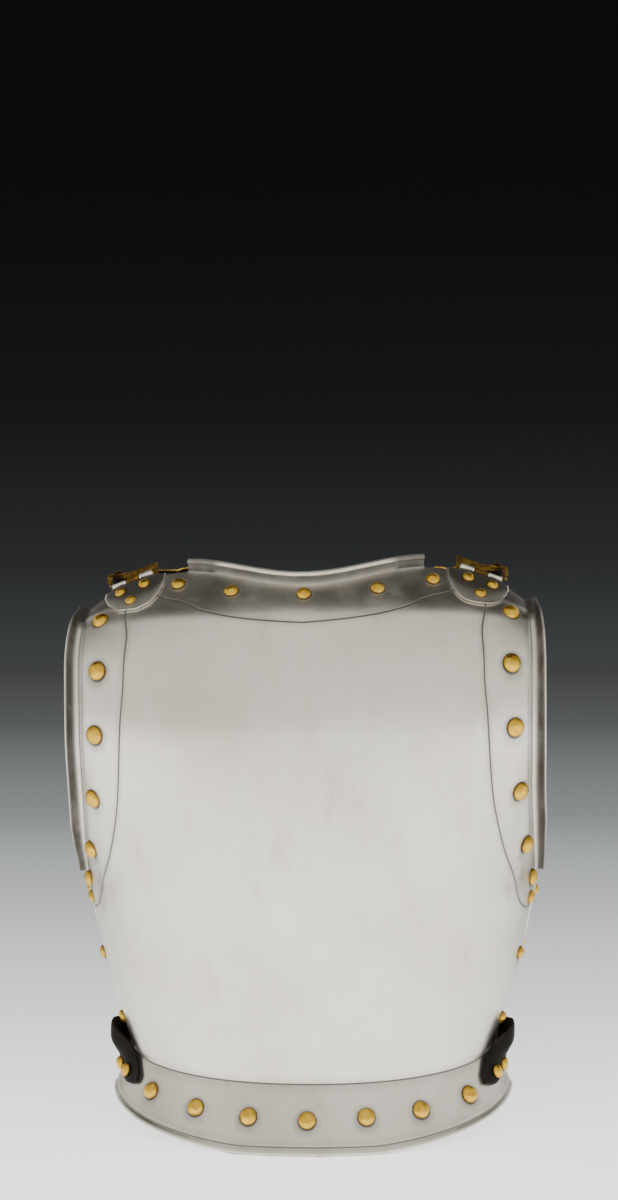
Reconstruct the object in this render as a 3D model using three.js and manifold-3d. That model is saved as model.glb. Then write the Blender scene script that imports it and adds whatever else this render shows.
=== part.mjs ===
// Cuirass of polished steel: backplate and breastplate held by hinged straps and a waist belt.
// Millimetres, +Z up. The backplate faces -Y, the breastplate +Y, the wearer's left is -X.
import * as THREE from 'three';
import Module from 'manifold-3d';

const wasm = await Module();
wasm.setup();

// Clearance between pieces
const GAP = 0.3;

// Plates
const BODY_WIDTH = 362;
const BODY_HEIGHT = 409;
const BACK_DEPTH = 133;
const BREAST_DEPTH = 152;
const BACK_WALL = 1.5;
const BREAST_WALL = 2.8;
const NECK_WIDTH = 188;
const LEFT_DROP = 3.4;
const KEEL = 5;
const KEEL_REACH = 70;
const UNDERARM = 0.42;

// Skirt and turned borders
const SKIRT_DROP = 53;
const SKIRT_FLARE = 23.6;
const RIM_THICK = 4.6;
const BACK_RIM_RISE = 27;
const BREAST_RIM_RISE = 22;
const RIM_FLAT = 0.24;
const FLANGE_REACH = 7.2;
const ARM_FLANGE = 9.8;
const NECK_FLANGE = 8;

// Rivets
const NECK_RIVET_DIA = 11.5;
const ARM_RIVET_DIA = 15;
const SIDE_RIVET_DIA = 11.5;
const SKIRT_RIVET_DIA = 14;
const PLATE_RIVET_DIA = 9.5;
const BELT_RIVET_DIA = 11;
const RIVET_FOOT = 1.6;

// Shoulder plates, hinges and straps
const PLATE_THICK = 1.8;
const PLATE_SEAT = 0.5;
const HINGE_LENGTH = 35;
const HINGE_STANDOFF = 4.6;
const KNUCKLE_DIA = 5.6;
const PIN_DIA = 2.6;
const LEAF_WIDTH = 41;
const LEAF_LENGTH = 20;
const LEAF_THICK = 1.5;
const STRAP_WIDTH = 34;
const STRAP_THICK = 3;
const STRAP_CREST = 9.5;
const SCALE_WIDTH = 39;
const SCALE_RISE = 2.6;
const SCALE_COUNT = 8;
const END_PLATE_LENGTH = 46;
const END_PLATE_OVERLAP = 14;
const STUD_INSET = 14;
const STUD_DIA = 13;
const STUD_NECK = 6;

// Waist belt, buckle and keeper
const BELT_WIDTH = 34;
const BELT_THICK = 2.4;
const BELT_LIFT = 3;
const BUCKLE_BAR = 4.5;
const BUCKLE_ROOM = 1.5;
const PRONG_DIA = 3;
const KEEPER_WIDTH = 12;
const KEEPER_WALL = 1.2;

// Body sections from the waist crease up to the neck. z, rise and dip are shares of the height,
// half of half the width, edge, mid and push of the depth; wrap is the angle turned at the edge,
// flat the roundness of the section, rise how much the sides climb, push and dip the neck hollow.
const SECTION = ['level', 'z', 'half', 'edge', 'mid', 'wrap', 'flat', 'rise', 'power', 'push', 'dip'];
const BACK_SECTIONS = [
  [0.00, 0.000, 0.823, 0.023, 0.744, 86, 1.10, 0.024, 2.0, 0.000, 0.000],
  [0.09, 0.066, 0.862, 0.023, 0.767, 86, 1.10, 0.020, 2.0, 0.000, 0.000],
  [0.20, 0.164, 0.928, 0.023, 0.820, 86, 1.15, 0.015, 2.0, 0.000, 0.000],
  [0.32, 0.274, 0.972, 0.030, 0.895, 84, 1.20, 0.007, 2.0, 0.000, 0.000],
  [0.42, 0.374, 1.000, 0.068, 0.955, 79, 1.25, 0.000, 2.0, 0.000, 0.000],
  [0.49, 0.457, 0.989, 0.301, 0.985, 67, 1.25, 0.000, 2.0, 0.000, 0.000],
  [0.60, 0.579, 0.978, 0.541, 1.000, 58, 1.25, 0.000, 2.0, 0.000, 0.000],
  [0.72, 0.702, 0.978, 0.647, 0.985, 56, 1.25, 0.000, 2.0, 0.000, 0.000],
  [0.84, 0.824, 0.978, 0.617, 0.910, 54, 1.20, -0.005, 2.5, 0.000, 0.000],
  [0.93, 0.919, 0.972, 0.481, 0.722, 50, 1.15, -0.029, 3.0, 0.060, 0.007],
  [1.00, 1.000, 0.950, 0.256, 0.331, 50, 1.10, -0.078, 3.5, 0.226, 0.027],
];
const BREAST_SECTIONS = [
  [0.00, 0.000, 0.829, 0.013, 0.737, 86, 0.95, 0.020, 2.0, 0.000, 0.000],
  [0.09, 0.066, 0.856, 0.013, 0.803, 86, 0.95, 0.017, 2.0, 0.000, 0.000],
  [0.20, 0.164, 0.923, 0.020, 0.882, 86, 0.95, 0.012, 2.0, 0.000, 0.000],
  [0.32, 0.274, 0.983, 0.026, 0.947, 84, 1.00, 0.007, 2.0, 0.000, 0.000],
  [0.42, 0.374, 1.017, 0.066, 0.987, 79, 1.05, 0.000, 2.0, 0.000, 0.000],
  [0.49, 0.457, 0.994, 0.224, 1.000, 68, 1.10, 0.000, 2.0, 0.000, 0.000],
  [0.60, 0.570, 0.950, 0.434, 0.987, 60, 1.15, 0.000, 2.0, 0.000, 0.000],
  [0.72, 0.672, 0.884, 0.553, 0.941, 56, 1.20, 0.000, 2.0, 0.000, 0.000],
  [0.84, 0.770, 0.845, 0.579, 0.855, 54, 1.20, 0.000, 2.5, 0.000, 0.015],
  [0.93, 0.853, 0.840, 0.526, 0.724, 50, 1.15, -0.010, 3.0, 0.033, 0.049],
  [1.00, 0.936, 0.851, 0.408, 0.500, 50, 1.10, -0.029, 3.5, 0.105, 0.093],
];
const BREAST_NECK_SHARE = 0.936;
const HOLLOW_SHARE = 1.19;
const BACK = {
  sections: BACK_SECTIONS, side: -1, depth: BACK_DEPTH, wall: BACK_WALL,
  neckHalf: NECK_WIDTH / 2, drop: LEFT_DROP, keel: 0, rimRise: BACK_RIM_RISE, borderStart: 0.75,
};
const BREAST = {
  sections: BREAST_SECTIONS, side: 1, depth: BREAST_DEPTH, wall: BREAST_WALL,
  neckHalf: NECK_WIDTH / 2 * BREAST_NECK_SHARE, drop: 0, keel: KEEL, rimRise: BREAST_RIM_RISE,
  borderStart: 0.5,
};
// Levels between which the sideways drop of the backplate's armholes sets in.
const DROP_FROM = 0.35;
const DROP_FULL = 0.55;

// Skirt profile from the waist crease to the rim: share of the drop, of the flare, of the rim's
// thickness. The sides flare less than the middle.
const SKIRT_PROFILE = [
  [0.12, 0.102, 0.43], [0.34, 0.297, 0.43], [0.60, 0.559, 0.43], [0.84, 0.847, 0.48],
  [0.90, 0.958, 0.87], [0.95, 1.000, 1.00], [1.00, 0.966, 0.78],
];
const SKIRT_SIDE_SHARE = 0.6;
const RIM_POWER = 1.2;

// Turned borders: share of the reach along the plate, share of the height out of it.
const ARM_BORDER = [[0.42, 0.08], [0.72, 0.29], [0.92, 0.59], [1.0, 1.0]];
const NECK_BORDER = [[0.36, 0.10], [0.67, 0.33], [0.83, 0.62], [1.0, 1.0]];
const ARM_BORDER_SHARE = [[0.52, 1.0], [0.90, 1.0], [1.0, 0.8]];

// Rivet heads on the body: across, level, share of the diameter. On the skirt the second column
// is the fall, and the neck's first column is a share of the way to the end of its border. The
// outer ones of the neck stand clear of the shoulder plates.
const NECK_RIVETS = [[-0.594, 0.977, 1], [0, 0.983, 1], [0.594, 0.977, 1]];
const OUTER_NECK_LEVEL = 0.983;
const NECK_RIVET_CLEAR = 10.8;
const ARM_RIVETS = [
  [0.905, 0.945, 0.92], [0.890, 0.840, 1.00], [0.907, 0.715, 1.00],
  [0.934, 0.586, 1.00], [0.945, 0.480, 0.97], [0.965, 0.413, 0.93],
];
const SIDE_RIVETS = [[0.965, 0.372, 1.00], [0.930, 0.245, 0.96], [0.935, 0.088, 0.91]];
const SKIRT_RIVETS = [
  [-0.638, 0.44, 0.96], [-0.410, 0.46, 1.00], [-0.205, 0.47, 1.00], [0, 0.50, 1.00],
  [0.205, 0.47, 1.00], [0.410, 0.48, 1.01], [0.638, 0.48, 1.01],
];
const BREAST_SIDE_RIVETS = [[0.965, 0.372, 1.00], [0.930, 0.250, 0.96], [0.935, 0.140, 0.91]];
const BREAST_NECK_RIVETS = [[-0.40, 0.965, 1], [0, 0.955, 1], [0.40, 0.965, 1]];
// Head profile: share of the diameter, share of the dome's height.
const RIVET_DOME = 0.36;
const RIVET_PROFILE = [[0.5, 0], [0.41, 0.58], [0.16, 1]];
const RIVET_SIDES = 8;
const FUSED_SIDES = 6;

// Shoulder plate outline: place along the hinge (share of its length from the middle), share
// of the plate's cover, 1 where a hinge lug starts. Rivets: the same places, without lugs.
const PLATE_MIDDLE = 0.525;
const PLATE_COVER = 0.048;
const PLATE_OUTLINE = [
  [-0.77, 0.25, 0], [-0.67, 0.58, 0], [-0.51, 0.85, 1], [-0.34, 0.96, 1], [-0.21, 1.00, 0],
  [0.21, 0.94, 1], [0.34, 0.84, 1], [0.51, 0.65, 0], [0.68, 0.21, 0],
];
const PLATE_RIVETS = [[0.243, 0.292], [-0.316, 0.229], [-0.073, 0.708]];
const PLATE_SHARES = [0, 0.4, 0.75, 1];
const STEEL_KNUCKLES = [[0, 0.335], [0.665, 1]];
const BRASS_KNUCKLE = [0.345, 0.655];
const PIN_ENDS = [-0.02, 1.02];
const BORE_ENDS = [-0.05, 1.05];

// Shoulder straps: angle at the hinge, place and levels on the breastplate with the lift off its
// rim (share of the rim clearance), and the crest between (share of the way, share of its height).
const STRAP_RISE = 24;
const STRAP_LEAD = 6;
const STRAP_ACROSS = 0.7;
const RIM_CLEARANCE = 1.2;
const STRAP_LANDING = [[1, 1], [0.95, 0], [0.91, 0], [0.865, 0]];
const STRAP_CREST_WAY = [[0.15, 0.53], [0.35, 0.89], [0.60, 1], [0.83, 0.84]];
const STRAP_STEPS = 9;
const LEAF_SHARES = [0.35, 0.70, 1];
// Scale section: share of the width, share of the rise; each scale starts at half its rise.
const SCALE_SECTION = [[-0.5, 0.55], [-0.32, 0.92], [0, 1], [0.32, 0.92], [0.5, 0.55]];
const SCALE_START = 0.5;
const END_PLATE_TAPER = [1, 1, 1, 1, 0.6];

// Belt. Shares of its width above the waist crease; on the breastplate its places across.
const BELT_ABOVE = 0.64;
// Tab on the backplate: across, upper and lower edge (shares of the belt width), share of the lift.
const BELT_TAB = [
  [1.000, 0.64, -0.56, 1.00], [0.930, 0.55, -0.72, 0.60], [0.860, 0.30, -0.82, 0.45],
  [0.790, -0.05, -0.86, 0.40], [0.735, -0.35, -0.78, 0.33],
];
const BELT_ON_BREAST = [1, 0.93, 0.86, 0.75, 0.64, 0.53, 0.42, 0.33];
const SHORT_END = [0.27, 0.205];
const UNDER_BUCKLE = [-0.22, -0.11, 0, 0.075];
const OVER_PIVOT = [0.14, 0.19];
const LONG_END = [0.27, 0.33, 0.42];
const OUTER_BAR = 0.06;
const PIVOT_BAR = 0.165;
const KEEPER = 0.33;
// Rivets through the tabs: station between tab sections, share of the width.
const BELT_RIVETS = [[1.45, 0.22], [2.45, 0.28]];

const STEEL = { color: 0xc9c6bf, roughness: 0.3, metalness: 1 };
const BRASS = { color: 0xcfa64f, roughness: 0.32, metalness: 1 };
const LEATHER = { color: 0x2a231b, roughness: 0.7, metalness: 0 };
const SIDES = [['left', -1], ['right', 1]];

const group = new THREE.Group();
group.name = 'cuirass';

function addNode(name, geometry, look) {
  const mesh = new THREE.Mesh(geometry, new THREE.MeshStandardMaterial(look));
  mesh.name = name;
  group.add(mesh);
  return mesh;
}

const vec = (x, y, z) => new THREE.Vector3(x, y, z);
const radians = THREE.MathUtils.degToRad;
const clamp = THREE.MathUtils.clamp;
const along = (from, to, share) => from + (to - from) * share;
const spaced = (from, to, count) => (
  Array.from({ length: count + 1 }, (_, k) => along(from, to, k / count))
);
const lastOf = (list) => list[list.length - 1];

// Value of a table's column at a place in its first column, on a smooth monotone curve.
function smoothColumn(rows, column, at) {
  const x = clamp(at, rows[0][0], lastOf(rows)[0]);
  const slope = [];
  for (let i = 0; i < rows.length - 1; i += 1) {
    slope.push((rows[i + 1][column] - rows[i][column]) / (rows[i + 1][0] - rows[i][0]));
  }
  const tangent = (i) => {
    if (i === 0) return slope[0];
    if (i === rows.length - 1) return slope[i - 1];
    if (slope[i - 1] * slope[i] <= 0) return 0;
    const before = rows[i][0] - rows[i - 1][0];
    const after = rows[i + 1][0] - rows[i][0];
    const wa = 2 * after + before;
    const wb = after + 2 * before;
    return (wa + wb) / (wa / slope[i - 1] + wb / slope[i]);
  };
  let k = 0;
  while (k < rows.length - 2 && x > rows[k + 1][0]) k += 1;
  const span = rows[k + 1][0] - rows[k][0];
  const t = (x - rows[k][0]) / span;
  const t2 = t * t;
  const t3 = t2 * t;
  return (2 * t3 - 3 * t2 + 1) * rows[k][column] + (t3 - 2 * t2 + t) * span * tangent(k)
    + (3 * t2 - 2 * t3) * rows[k + 1][column] + (t3 - t2) * span * tangent(k + 1);
}

// Value of a two-column table at a place, on straight lines.
function linearAt(rows, at) {
  let k = 0;
  while (k < rows.length - 2 && at > rows[k + 1][0]) k += 1;
  const t = clamp((at - rows[k][0]) / (rows[k + 1][0] - rows[k][0]), 0, 1);
  return along(rows[k][1], rows[k + 1][1], t);
}

const sectionCache = new Map();
function sectionAt(plate, level) {
  const key = `${plate.side}:${level}`;
  if (!sectionCache.has(key)) {
    const values = {};
    SECTION.forEach((name, k) => { values[name] = k ? smoothColumn(plate.sections, k, level) : level; });
    sectionCache.set(key, values);
  }
  return sectionCache.get(key);
}

// Outer face of a plate's body; across runs from -1 to 1, level from 0 to 1.
function bodyPoint(plate, across, level) {
  const row = sectionAt(plate, level);
  const reach = Math.abs(across);
  const wrap = radians(row.wrap);
  const x = BODY_WIDTH / 2 * row.half * Math.sin(across * wrap) / Math.sin(wrap);
  const turn = ((1 - Math.cos(reach * wrap)) / (1 - Math.cos(wrap))) ** row.flat;
  const hollowHalf = HOLLOW_SHARE * NECK_WIDTH / 2;
  const hollow = Math.cos(Math.PI / 2 * clamp(Math.abs(x) / hollowHalf, 0, 1)) ** 2;
  const ridge = plate.keel * Math.max(0, 1 - Math.abs(x) / KEEL_REACH) * (1 - level * level);
  const y = plate.side * (plate.depth * (along(row.mid, row.edge, turn) + row.push * hollow) + ridge);
  const climb = row.z + row.rise * reach ** row.power - row.dip * hollow;
  const lean = plate.drop * across * THREE.MathUtils.smoothstep(level, DROP_FROM, DROP_FULL);
  return vec(x, y, SKIRT_DROP + BODY_HEIGHT * climb + lean);
}

// Directions on the body: sideways, upwards and outwards.
function bodyFrame(plate, across, level) {
  const step = 1e-3;
  const side = bodyPoint(plate, Math.min(across + step, 1), level)
    .sub(bodyPoint(plate, Math.max(across - step, -1), level)).normalize();
  const up = bodyPoint(plate, across, Math.min(level + step, 1))
    .sub(bodyPoint(plate, across, Math.max(level - step, 0))).normalize();
  const out = side.clone().cross(up).normalize();
  const point = bodyPoint(plate, across, level);
  if (out.x * point.x + out.y * point.y < 0) out.negate();
  return { point, side, up, out };
}

const offBody = (plate, across, level, lift) => {
  const at = bodyFrame(plate, across, level);
  return at.point.addScaledVector(at.out, lift);
};

// Level of a plate at a height above the waist crease.
function levelAt(plate, height) {
  let low = 0;
  let high = 1;
  for (let k = 0; k < 30; k += 1) {
    const middle = (low + high) / 2;
    if (sectionAt(plate, middle).z * BODY_HEIGHT < height) low = middle;
    else high = middle;
  }
  return low;
}

// Place across where the border of a plate's neck ends.
function neckEnd(plate) {
  const top = sectionAt(plate, 1);
  const wrap = radians(top.wrap);
  return Math.asin(plate.neckHalf * Math.sin(wrap) / (BODY_WIDTH / 2 * top.half)) / wrap;
}

// Skirt below the waist crease: height and the level direction it leans out in.
function skirtBase(plate, across) {
  const at = bodyFrame(plate, across, 0);
  const out = vec(at.out.x, at.out.y, 0).normalize();
  const climb = Math.max(0, Math.abs(across) - RIM_FLAT) / (1 - RIM_FLAT);
  const rim = plate.rimRise * climb ** RIM_POWER;
  const share = 1 - (1 - SKIRT_SIDE_SHARE) * across * across;
  return { crease: at.point, out, rim, share };
}

function skirtPoint(plate, across, fall, reach) {
  const base = skirtBase(plate, across);
  const point = base.crease.clone().addScaledVector(base.out, reach * base.share);
  point.z = along(base.crease.z, base.rim, fall);
  return point;
}

const flareTable = [[0, 0], ...SKIRT_PROFILE.map((row) => [row[0], row[1] * SKIRT_FLARE])];
const skirtOuter = (fall) => linearAt(flareTable, fall);

function skirtFrame(plate, across, fall) {
  const step = 0.02;
  const at = (a, f) => skirtPoint(plate, a, f, skirtOuter(f));
  const point = at(across, fall);
  const side = at(Math.min(across + step, 1), fall).sub(at(Math.max(across - step, -1), fall));
  const up = at(across, fall - step).sub(at(across, fall + step));
  const out = side.cross(up).normalize();
  if (out.x * point.x + out.y * point.y < 0) out.negate();
  return { point, out };
}

// Closed solid between two grids of points; cells names the grid cells that are filled.
function sheet(outer, inner, cells = () => true) {
  const rows = outer.length;
  const cols = outer[0].length;
  const filled = (i, j) => i >= 0 && j >= 0 && i < rows - 1 && j < cols - 1 && cells(i, j);
  const index = new Map();
  const positions = [];
  const corner = (face, i, j) => {
    const key = (face * rows + i) * cols + j;
    if (!index.has(key)) {
      const p = face ? inner[i][j] : outer[i][j];
      index.set(key, positions.length / 3);
      positions.push(p.x, p.y, p.z);
    }
    return index.get(key);
  };
  const tris = [];
  const quad = (a, b, c, d) => tris.push(a, b, c, a, c, d);
  for (let i = 0; i < rows - 1; i += 1) {
    for (let j = 0; j < cols - 1; j += 1) {
      if (!filled(i, j)) continue;
      const o = [corner(0, i, j), corner(0, i, j + 1), corner(0, i + 1, j + 1), corner(0, i + 1, j)];
      const n = [corner(1, i, j), corner(1, i, j + 1), corner(1, i + 1, j + 1), corner(1, i + 1, j)];
      quad(o[0], o[1], o[2], o[3]);
      quad(n[3], n[2], n[1], n[0]);
      if (!filled(i - 1, j)) quad(o[1], o[0], n[0], n[1]);
      if (!filled(i, j + 1)) quad(o[2], o[1], n[1], n[2]);
      if (!filled(i + 1, j)) quad(o[3], o[2], n[2], n[3]);
      if (!filled(i, j - 1)) quad(o[0], o[3], n[3], n[0]);
    }
  }
  return closedGeometry(positions, tris);
}

function enclosed(positions, tris) {
  let sum = 0;
  const p = (k) => vec(positions[3 * k], positions[3 * k + 1], positions[3 * k + 2]);
  for (let t = 0; t < tris.length; t += 3) sum += p(tris[t]).dot(p(tris[t + 1]).cross(p(tris[t + 2])));
  return sum / 6;
}

function closedGeometry(positions, tris) {
  const order = enclosed(positions, tris) < 0 ? tris.slice().reverse() : tris;
  const geometry = new THREE.BufferGeometry();
  geometry.setAttribute('position', new THREE.Float32BufferAttribute(positions, 3));
  geometry.setIndex(order);
  return geometry;
}

// Body of rings of equal length, closed at both ends.
function rings(list) {
  const count = list[0].length;
  const positions = [];
  list.forEach((ring) => ring.forEach((p) => positions.push(p.x, p.y, p.z)));
  const tris = [];
  for (let r = 0; r < list.length - 1; r += 1) {
    for (let k = 0; k < count; k += 1) {
      const a = r * count + k;
      const b = r * count + (k + 1) % count;
      tris.push(a, b, b + count, a, b + count, a + count);
    }
  }
  const last = (list.length - 1) * count;
  for (let k = 1; k < count - 1; k += 1) {
    tris.push(0, k + 1, k);
    tris.push(last, last + k, last + k + 1);
  }
  return closedGeometry(positions, tris);
}

function axes(out) {
  const first = vec(0, 0, 1).cross(out).normalize();
  return [first, out.clone().cross(first)];
}

// Domed rivet head standing on a point, its foot lowered by sink.
function rivetHead(point, out, dia, sink, sides = RIVET_SIDES) {
  const [u, w] = axes(out);
  const list = RIVET_PROFILE.map(([width, height]) => {
    const lift = height ? height * RIVET_DOME * dia : -sink;
    return Array.from({ length: sides }, (_, k) => {
      const a = 2 * Math.PI * (k + 0.5) / sides;
      return point.clone().addScaledVector(out, lift)
        .addScaledVector(u, width * dia * Math.cos(a)).addScaledVector(w, width * dia * Math.sin(a));
    });
  });
  return rings(list);
}

// Cylinder between two points.
function rod(from, to, dia, sides = 10) {
  const [u, w] = axes(to.clone().sub(from).normalize());
  const circle = (centre) => spaced(0, 2 * Math.PI, sides).slice(1).map((a) => (
    centre.clone().addScaledVector(u, dia / 2 * Math.cos(a)).addScaledVector(w, dia / 2 * Math.sin(a))
  ));
  return rings([circle(from), circle(to)]);
}

function toManifold(geometry) {
  const vertProperties = new Float32Array(geometry.attributes.position.array);
  const triVerts = new Uint32Array(geometry.index.array);
  return new wasm.Manifold(new wasm.Mesh({ numProp: 3, vertProperties, triVerts }));
}

function fromManifold(solid) {
  const mesh = solid.getMesh();
  const geometry = new THREE.BufferGeometry();
  geometry.setAttribute('position', new THREE.Float32BufferAttribute(mesh.vertProperties, 3));
  geometry.setIndex(Array.from(mesh.triVerts));
  return geometry;
}

const join = (list) => fromManifold(list.map(toManifold).reduce((sum, part) => sum.add(part)));
const cut = (base, tool) => fromManifold(toManifold(base).subtract(toManifold(tool)));

// Grid of a plate: levels of its tables, with one more row near each end, and places across.
const END_LEVELS = [0.045, 0.97];
const LEVELS = [...new Set([...BACK_SECTIONS.map(([level]) => level), ...END_LEVELS, UNDERARM])]
  .sort((a, b) => a - b);
const HALF_STATIONS = [0, 0.12, 0.24, 0.37, 0.64, 0.75, 0.86, 0.94, 1];
const STATION_ROOM = 0.05;
const TINY = 1e-6;

// Places across a plate, one of them at the end of the neck border.
function stationsFor(plate) {
  const neck = neckEnd(plate);
  const kept = HALF_STATIONS.filter((a) => a === 1 || Math.abs(a - neck) > STATION_ROOM);
  const half = [...kept, neck].sort((a, b) => a - b);
  return [...half.slice(1).reverse().map((a) => -a), ...half];
}

function armBorderPoint(plate, end, level, [reach, height]) {
  const at = bodyFrame(plate, end, level);
  const outward = at.side.clone().multiplyScalar(end);
  outward.addScaledVector(at.up, -outward.dot(at.up)).normalize();
  const share = linearAt([[UNDERARM, plate.borderStart], ...ARM_BORDER_SHARE], level);
  return at.point.addScaledVector(outward, reach * FLANGE_REACH * share)
    .addScaledVector(at.out, height * ARM_FLANGE * share);
}

// Upward along the plate's top edge, square to it.
const upFromTop = (at) => at.up.clone().addScaledVector(at.side, -at.up.dot(at.side)).normalize();

function neckBorderPoint(plate, across, [reach, height]) {
  const at = bodyFrame(plate, across, 1);
  return at.point.addScaledVector(upFromTop(at), reach * FLANGE_REACH)
    .addScaledVector(at.out, height * NECK_FLANGE);
}

// Inner face of a grid of outer points: each moved in by the wall along its own normal.
function innerGrid(outer, wall, cells) {
  const rows = outer.length;
  const cols = outer[0].length;
  const filled = (i, j) => i >= 0 && j >= 0 && i < rows - 1 && j < cols - 1 && cells(i, j);
  return outer.map((line, i) => line.map((point, j) => {
    const sum = vec(0, 0, 0);
    [[0, 0], [-1, 0], [0, -1], [-1, -1]].forEach(([di, dj]) => {
      if (!filled(i + di, j + dj)) return;
      const a = outer[i + di][j + dj];
      const b = outer[i + di][j + dj + 1];
      const c = outer[i + di + 1][j + dj + 1];
      const d = outer[i + di + 1][j + dj];
      sum.add(c.clone().sub(a).cross(d.clone().sub(b)).normalize());
    });
    return point.clone().addScaledVector(sum.normalize(), -wall);
  }));
}

function plateSolid(plate) {
  const stations = stationsFor(plate);
  const neck = neckEnd(plate) + TINY;
  const borderCols = ARM_BORDER.length;
  const skirtRows = SKIRT_PROFILE.length;
  const outer = [];
  const skirtInner = [];
  const turned = (across) => (plate.side < 0 ? across : -across);
  const spread = (level, body) => {
    const left = ARM_BORDER.map((row) => armBorderPoint(plate, turned(-1), level, row)).reverse();
    const right = ARM_BORDER.map((row) => armBorderPoint(plate, turned(1), level, row));
    return [...left, ...body, ...right];
  };
  [...SKIRT_PROFILE].reverse().forEach(([fall, flare, thick]) => {
    const reach = flare * SKIRT_FLARE;
    const inside = reach - thick * RIM_THICK;
    outer.push(spread(0, stations.map((a) => skirtPoint(plate, turned(a), fall, reach))));
    skirtInner.push(spread(0, stations.map((a) => skirtPoint(plate, turned(a), fall, inside))));
  });
  LEVELS.forEach((level) => {
    outer.push(spread(level, stations.map((a) => bodyPoint(plate, turned(a), level))));
  });
  NECK_BORDER.forEach((row) => {
    outer.push(spread(1, stations.map((a) => neckBorderPoint(plate, turned(a), row))));
  });
  const lastBody = skirtRows + LEVELS.length - 1;
  const underarm = skirtRows + LEVELS.indexOf(UNDERARM);
  const cells = (i, j) => {
    const a = stations[j - borderCols];
    const b = stations[j - borderCols + 1];
    const onBody = a !== undefined && b !== undefined;
    if (i >= lastBody) return onBody && Math.max(Math.abs(a), Math.abs(b)) <= neck;
    return onBody || i >= underarm;
  };
  const inner = innerGrid(outer, plate.wall, cells);
  for (let i = 0; i < skirtRows; i += 1) inner[i] = skirtInner[i];
  return sheet(outer, inner, cells);
}

// Breastplate with its rivet heads, then the backplate
const mirrored = (rows) => [-1, 1].flatMap((end) => rows.map((row) => [end * row[0], ...row.slice(1)]));
const fusedRivets = (rows, dia, frameOf) => rows.map(([across, level, share]) => {
  const at = frameOf(across, level);
  return rivetHead(at.point, at.out, dia * share, RIVET_FOOT, FUSED_SIDES);
});
const onBreast = (across, level) => bodyFrame(BREAST, across, level);
const breastArms = mirrored(ARM_RIVETS.slice(0, -1));
addNode('breastplate', join([
  plateSolid(BREAST),
  ...fusedRivets(BREAST_NECK_RIVETS, NECK_RIVET_DIA, onBreast),
  ...fusedRivets(breastArms, ARM_RIVET_DIA, onBreast),
  ...fusedRivets(mirrored(BREAST_SIDE_RIVETS), SIDE_RIVET_DIA, onBreast),
  ...fusedRivets(SKIRT_RIVETS, SKIRT_RIVET_DIA, (across, fall) => skirtFrame(BREAST, across, fall)),
]), STEEL);
const backplate = addNode('backplate', plateSolid(BACK), STEEL);

// Places where a mesh is met under a round foot: its rim and, last, its middle.
const RAY_COUNT = 16;
const RAY_START = 20;
function placesUnder(mesh, point, out, radius) {
  const [u, w] = axes(out);
  const caster = new THREE.Raycaster();
  const found = [];
  for (let k = 0; k <= RAY_COUNT; k += 1) {
    const a = 2 * Math.PI * k / RAY_COUNT;
    const reach = k === RAY_COUNT ? 0 : radius;
    const from = point.clone().addScaledVector(out, RAY_START);
    from.addScaledVector(u, reach * Math.cos(a)).addScaledVector(w, reach * Math.sin(a));
    caster.set(from, out.clone().negate());
    const hit = caster.intersectObject(mesh)[0];
    if (hit) found.push(hit.point);
  }
  return found;
}

// Seat of a round foot on a faceted face: square to the face on average, clear of every facet.
function seatOn(mesh, point, out, radius) {
  const found = placesUnder(mesh, point, out, radius);
  const axis = vec(0, 0, 0);
  found.slice(0, -1).forEach((place, k) => {
    const next = found[(k + 1) % (found.length - 1)];
    axis.add(place.clone().sub(point).cross(next.clone().sub(point)));
  });
  axis.normalize();
  if (axis.dot(out) < 0) axis.negate();
  const top = Math.max(...found.map((place) => place.clone().sub(point).dot(axis)));
  return { point: point.clone().addScaledVector(axis, top + GAP), axis };
}

function addRivets(prefix, rows, rivetDia, frameOf) {
  rows.forEach(([across, level, share], k) => {
    const at = frameOf(across, level);
    const dia = rivetDia * share;
    const seat = seatOn(backplate, at.point, at.out, dia / 2);
    addNode(`${prefix}_${k + 1}`, rivetHead(seat.point, seat.axis, dia, 0), BRASS);
  });
}

// Place across for a share of the hinge's length from the middle of a shoulder plate.
const plateMiddle = along(neckEnd(BACK), 1, PLATE_MIDDLE);
const acrossStep = 0.05;
const perAcross = bodyPoint(BACK, plateMiddle + acrossStep, 1)
  .distanceTo(bodyPoint(BACK, plateMiddle - acrossStep, 1)) / (2 * acrossStep);
const plateAcross = (share) => plateMiddle + share * HINGE_LENGTH / perAcross;

const onBack = (across, level) => bodyFrame(BACK, across, level);
const onSkirt = (across, fall) => skirtFrame(BACK, across, fall);
const oneSide = (rows, end) => rows.map(([across, ...rest]) => [end * across, ...rest]);
const outerNeck = plateAcross(PLATE_OUTLINE[0][0]) - NECK_RIVET_CLEAR / perAcross;
const neckRivets = [
  [-outerNeck, OUTER_NECK_LEVEL, 1],
  ...NECK_RIVETS.map(([share, ...rest]) => [share * neckEnd(BACK), ...rest]),
  [outerNeck, OUTER_NECK_LEVEL, 1],
];
addRivets('neck_rivet', neckRivets, NECK_RIVET_DIA, onBack);
addRivets('skirt_rivet', SKIRT_RIVETS, SKIRT_RIVET_DIA, onSkirt);
SIDES.forEach(([name, end]) => {
  addRivets(`${name}_armhole_rivet`, oneSide(ARM_RIVETS, end), ARM_RIVET_DIA, onBack);
  addRivets(`${name}_side_rivet`, oneSide(SIDE_RIVETS, end), SIDE_RIVET_DIA, onBack);
});

const plateLevel = (share) => 1 - PLATE_COVER * share;

function hingePoint(end, across) {
  const at = bodyFrame(BACK, end * across, 1);
  const point = at.point.clone().addScaledVector(upFromTop(at), HINGE_STANDOFF);
  return { point: point.addScaledVector(at.out, PLATE_SEAT + PLATE_THICK / 2), out: at.out };
}

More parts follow.
